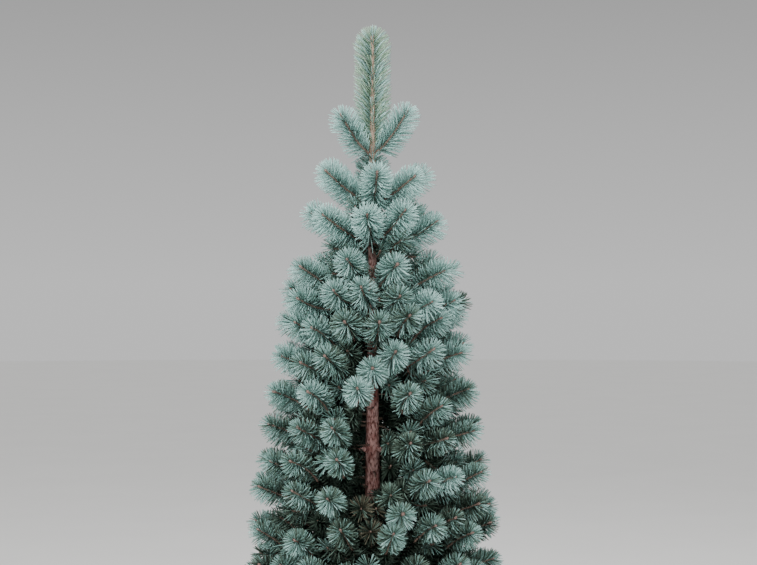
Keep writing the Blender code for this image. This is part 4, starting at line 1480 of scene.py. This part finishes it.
def build_pot(settings):
    """Thrown terracotta pot with a banded rim, throwing marks and drain holes."""
    profile = (
        (0.0, POT_FLOOR), (POT_FOOT_RADIUS - POT_WALL, POT_FLOOR),
        (POT_SHOULDER_RADIUS - POT_WALL, POT_SHOULDER_HEIGHT), (POT_MOUTH_RADIUS, POT_HEIGHT),
        (POT_RIM_RADIUS, POT_HEIGHT), (POT_RIM_RADIUS - POT_EDGE, POT_SHOULDER_HEIGHT),
        (POT_SHOULDER_RADIUS, POT_SHOULDER_HEIGHT), (POT_FOOT_RADIUS, 0.0), (0.0, 0.0),
    )
    radius, height = rounded(profile, POT_EDGE)[1:-1].T
    waves = height / THROWING_PITCH * 2.0 * np.pi + 1.3 * np.sin(height * THROWING_DRIFT)
    on_wall = ((radius > POT_FOOT_RADIUS - POT_WALL) & (height > THROWING_MARGIN)
               & (height < POT_HEIGHT - THROWING_MARGIN))
    radius = radius + THROWING_DEPTH * np.sin(waves) * on_wall
    rings = round_axis(radius[:, None], even_turns(POT_SIDES), height[:, None])
    bundle = Bundle()
    add_tube(bundle, rings[::-1], (0.0, 0.0, 0.0), (0.0, 0.0, POT_FLOOR))
    clay = fired_clay("fired terracotta", settings.clay[:], settings.bloom[:])
    pot = add_piece("clay_pot", bundle.mesh("clay_pot"), clay, ["pot"])
    cut_drains(pot)
    pot.data.shade_smooth()
    pot.data.set_sharp_from_angle(angle=SHARP_EDGE)


def cut_drains(pot):
    """Cut the drain holes out of the pot's floor."""
    holes = Bundle()
    for number in range(DRAIN_COUNT):
        angle = 2.0 * math.pi * (number + 0.5) / DRAIN_COUNT
        centre = Vector((DRAIN_RING_RADIUS * math.sin(angle), -DRAIN_RING_RADIUS * math.cos(angle), 0.0))
        path = [centre + Vector((0.0, 0.0, height)) for height in DRAIN_REACH]
        add_limb(holes, path, np.full(4, DRAIN_RADIUS), DRAIN_SIDES)
    cutter = bpy.data.objects.new("drain_cutter", holes.mesh("drain_cutter"))
    bpy.context.scene.collection.objects.link(cutter)
    boolean = pot.modifiers.new("Drains", "BOOLEAN")
    boolean.operation = "DIFFERENCE"
    boolean.object = cutter
    graph = bpy.context.evaluated_depsgraph_get()
    mesh = bpy.data.meshes.new_from_object(pot.evaluated_get(graph))
    pot.modifiers.clear()
    pot.data = mesh
    bpy.data.objects.remove(cutter)


def soil_fall(reach, edge):
    """How far the soil has sunk at a distance from the trunk: not at all but near the pot's wall."""
    away = (reach / edge - SOIL_LEVEL_SHARE) / (1.0 - SOIL_LEVEL_SHARE)
    return SOIL_FALL * np.clip(away, 0.0, 1.0)


def build_soil(settings):
    """Crumbly soil surface and the body of soil under it, with loose crumbs on top."""
    inner = POT_SHOULDER_RADIUS - POT_WALL
    share = (SOIL_TOP - POT_SHOULDER_HEIGHT) / POT_RIM_HEIGHT
    edge = inner + (POT_MOUTH_RADIUS - inner) * share - SOIL_GAP
    reach = edge * np.linspace(1.0, 0.0, SOIL_RINGS)[:-1, None]
    surface = round_axis(reach, even_turns(SOIL_SIDES), SOIL_TOP - soil_fall(reach, edge) - SOIL_GAP)
    for index in np.ndindex(surface.shape[:2]):
        spot = Vector((*surface[index][:2], 0.0))
        lumps = LUMP_SHARE * noise.fractal(spot * LUMPS_PER_METRE, *LUMP_FRACTAL)
        swells = SWELL_SHARE * noise.noise(spot * SWELLS_PER_METRE)
        surface[index][2] += settings.crumb * (lumps + swells)
    skirt = surface[:1] * SOIL_SKIRT_SHARE
    skirt[..., 2] = SOIL_TOP - SOIL_SKIRT_DEPTH
    bundle = Bundle()
    add_tube(bundle, np.concatenate([skirt, surface]), (0.0, 0.0, SOIL_TOP - SOIL_SKIRT_DEPTH),
             (0.0, 0.0, SOIL_TOP))
    rng = np.random.default_rng(CRUMB_SEED)
    for _ in range(CRUMB_TRIES):
        spot = rng.uniform(-edge, edge, 2)
        away = np.hypot(*spot)
        if TRUNK_CLEARANCE < away < edge - WALL_CLEARANCE:
            size = rng.uniform(*CRUMB_SIZES)
            height = SOIL_TOP - soil_fall(away, edge) + CRUMB_RISE * size
            add_crumb(bundle, rng, np.array((*spot, height)), size)
    add_piece("potting_soil", bundle.mesh("potting_soil"), potting_mix(settings), ["soil"])


def add_crumb(bundle, rng, centre, size):
    """One uneven lump of soil."""
    around = even_turns(CRUMB_SIDES)
    rings = []
    for level in CRUMB_LEVELS:
        uneven = rng.uniform(*CRUMB_UNEVENNESS, CRUMB_SIDES)
        reach = size * math.sqrt(1.0 - level * level) * uneven
        rings.append(np.stack([reach * np.cos(around), reach * np.sin(around),
                               np.full(CRUMB_SIDES, level * size * CRUMB_HEIGHT)], -1))
    end = np.array((0.0, 0.0, CRUMB_HEIGHT * size))
    add_tube(bundle, np.stack(rings) + centre, centre - end, centre + end)


# ---------------------------------------------------------------- stage

IMAGE_WIDTH = 757
IMAGE_HEIGHT = 565
METRES_PER_PIXEL = 0.00125
TRUNK_COLUMN = 372.5
TIP_ROW = 25.0
SENSOR_WIDTH = 36.0
VIEW_END = 60.0
FLOOR_RADIUS = 14.0
FLOOR_SIDES = 96

# Grey of the sky by the height of its direction, from level to straight up. Its darkest band lies
# behind the top of the crown, so that the light needle tips stand out.
SKY_GREYS = ((0.0, (0.68, 0.68, 0.68)), (1.0, (1.0, 1.0, 1.0)), (0.16, (0.42, 0.42, 0.42)),
             (0.34, (0.66, 0.67, 0.67)))

# Soft square lamps: where they hang, what they look at, share of the key light's power, and size.
Lamp = namedtuple("Lamp", "name position target share size")
LAMPS = (
    Lamp("key_light", (-1.1, -1.8, 2.9), (0.0, 0.0, 0.65), 1.0, 1.1),
    Lamp("fill_light", (0.5, -2.8, 1.1), (0.0, 0.0, 0.6), 0.24, 0.9),
    Lamp("back_light", (0.7, 1.6, 2.6), (0.0, 0.0, 0.6), 0.35, 1.2),
)


def link_object(name, data):
    """Object of the stage, linked to the scene."""
    added = bpy.data.objects.new(name, data)
    bpy.context.scene.collection.objects.link(added)
    return added


def build_stage(settings):
    """Pale floor, soft studio light and a level camera in front of the crown."""
    mesh = bpy.data.meshes.new("floor")
    rim = [(FLOOR_RADIUS * math.cos(turn), FLOOR_RADIUS * math.sin(turn), 0.0)
           for turn in even_turns(FLOOR_SIDES)]
    mesh.from_pydata(rim, [], [list(range(FLOOR_SIDES))])
    mesh.materials.append(floor_paint(settings))
    floor = link_object("floor", mesh)

    world = bpy.data.worlds.new("studio light")
    bpy.context.scene.world = world
    world.use_nodes = True
    tree = world.node_tree
    background = tree.nodes["Background"]
    background.inputs["Strength"].default_value = settings.sky
    coords = node(tree, "ShaderNodeTexCoord")
    split = node(tree, "ShaderNodeSeparateXYZ", links={"Vector": coords.outputs["Generated"]})
    sky = node(tree, "ShaderNodeValToRGB", links={"Fac": split.outputs["Z"]}, stops=SKY_GREYS)
    tree.links.new(sky.outputs["Color"], background.inputs["Color"])

    for lamp in LAMPS:
        light = bpy.data.lights.new(lamp.name, "AREA")
        light.energy = lamp.share * settings.key_power
        light.size = lamp.size
        hung = link_object(lamp.name, light)
        hung.location = lamp.position
        gaze = Vector(lamp.target) - Vector(lamp.position)
        hung.rotation_euler = gaze.to_track_quat("-Z", "Y").to_euler()

    # The camera takes in the crown from its tip down, with its trunk at a column of the picture.
    camera = bpy.data.cameras.new("camera")
    camera.sensor_width = SENSOR_WIDTH
    camera.lens = SENSOR_WIDTH * settings.distance / (IMAGE_WIDTH * METRES_PER_PIXEL)
    camera.clip_end = VIEW_END
    eye = link_object("camera", camera)
    aside = (IMAGE_WIDTH / 2.0 - TRUNK_COLUMN) * METRES_PER_PIXEL
    height = TIP_HEIGHT - (IMAGE_HEIGHT / 2.0 - TIP_ROW) * METRES_PER_PIXEL
    eye.location = (aside, -settings.distance, height)
    eye.rotation_euler = (math.radians(90.0), 0.0, 0.0)
    bpy.context.scene.camera = eye


# ---------------------------------------------------------------- operators

class SPRUCE_OT_trunk(bpy.types.Operator):
    """Build the trunk with its scaly bark"""

    bl_idname = "spruce.trunk"
    bl_label = "Trunk"

    def execute(self, context):
        build_trunk(context.scene.blue_spruce.bark)
        return {"FINISHED"}


class SPRUCE_OT_boughs(bpy.types.Operator):
    """Build the boughs and stems with their bark"""

    bl_idname = "spruce.boughs"
    bl_label = "Boughs"

    def execute(self, context):
        build_boughs(context.scene.blue_spruce.bark)
        return {"FINISHED"}


class SPRUCE_OT_twigs(bpy.types.Operator):
    """Build the twigs and the dead twigs on the trunk"""

    bl_idname = "spruce.twigs"
    bl_label = "Twigs"

    def execute(self, context):
        build_twigs(context.scene.blue_spruce.bark)
        return {"FINISHED"}


class SPRUCE_OT_buds(bpy.types.Operator):
    """Build the buds"""

    bl_idname = "spruce.buds"
    bl_label = "Buds"

    def execute(self, context):
        build_buds(context.scene.blue_spruce.bark)
        return {"FINISHED"}


class SPRUCE_OT_needles(bpy.types.Operator):
    """Build the needles"""

    bl_idname = "spruce.needles"
    bl_label = "Needles"

    def execute(self, context):
        build_needles(context.scene.blue_spruce.needles)
        return {"FINISHED"}


class SPRUCE_OT_pot(bpy.types.Operator):
    """Build the clay pot"""

    bl_idname = "spruce.pot"
    bl_label = "Pot"

    def execute(self, context):
        build_pot(context.scene.blue_spruce.pot)
        return {"FINISHED"}


class SPRUCE_OT_soil(bpy.types.Operator):
    """Build the soil in the pot"""

    bl_idname = "spruce.soil"
    bl_label = "Soil"

    def execute(self, context):
        build_soil(context.scene.blue_spruce.pot)
        return {"FINISHED"}


class SPRUCE_OT_stage(bpy.types.Operator):
    """Set the floor, lights and camera"""

    bl_idname = "spruce.stage"
    bl_label = "Stage"

    def execute(self, context):
        build_stage(context.scene.blue_spruce.stage)
        return {"FINISHED"}


OPERATORS = (SPRUCE_OT_trunk, SPRUCE_OT_boughs, SPRUCE_OT_twigs, SPRUCE_OT_buds, SPRUCE_OT_needles,
             SPRUCE_OT_pot, SPRUCE_OT_soil, SPRUCE_OT_stage)


class SPRUCE_PT_panel(bpy.types.Panel):
    """Settings and pieces of the potted spruce"""

    bl_idname = "SPRUCE_PT_panel"
    bl_label = "Blue Spruce"
    bl_space_type = "VIEW_3D"
    bl_region_type = "UI"
    bl_category = "Blue Spruce"

    def draw(self, context):
        settings = context.scene.blue_spruce
        for group in (settings.needles, settings.bark, settings.pot, settings.stage):
            box = self.layout.box()
            for name in group.__annotations__:
                box.prop(group, name)
        for operator in OPERATORS:
            self.layout.operator(operator.bl_idname)


CLASSES = (SpruceNeedleSettings, SpruceBarkSettings, SprucePotSettings, SpruceStageSettings,
           SpruceSettings, *OPERATORS, SPRUCE_PT_panel)


def register():
    """Register the classes and hang the settings on the scene."""
    for cls in CLASSES:
        bpy.utils.register_class(cls)
    bpy.types.Scene.blue_spruce = PointerProperty(type=SpruceSettings)


def unregister():
    """Undo register."""
    del bpy.types.Scene.blue_spruce
    for cls in reversed(CLASSES):
        bpy.utils.unregister_class(cls)


def main():
    """Build every piece and the stage."""
    register()
    bpy.ops.spruce.trunk()
    bpy.ops.spruce.boughs()
    bpy.ops.spruce.twigs()
    bpy.ops.spruce.buds()
    bpy.ops.spruce.needles()
    bpy.ops.spruce.pot()
    bpy.ops.spruce.soil()
    bpy.ops.spruce.stage()


if __name__ == "__main__":
    main()
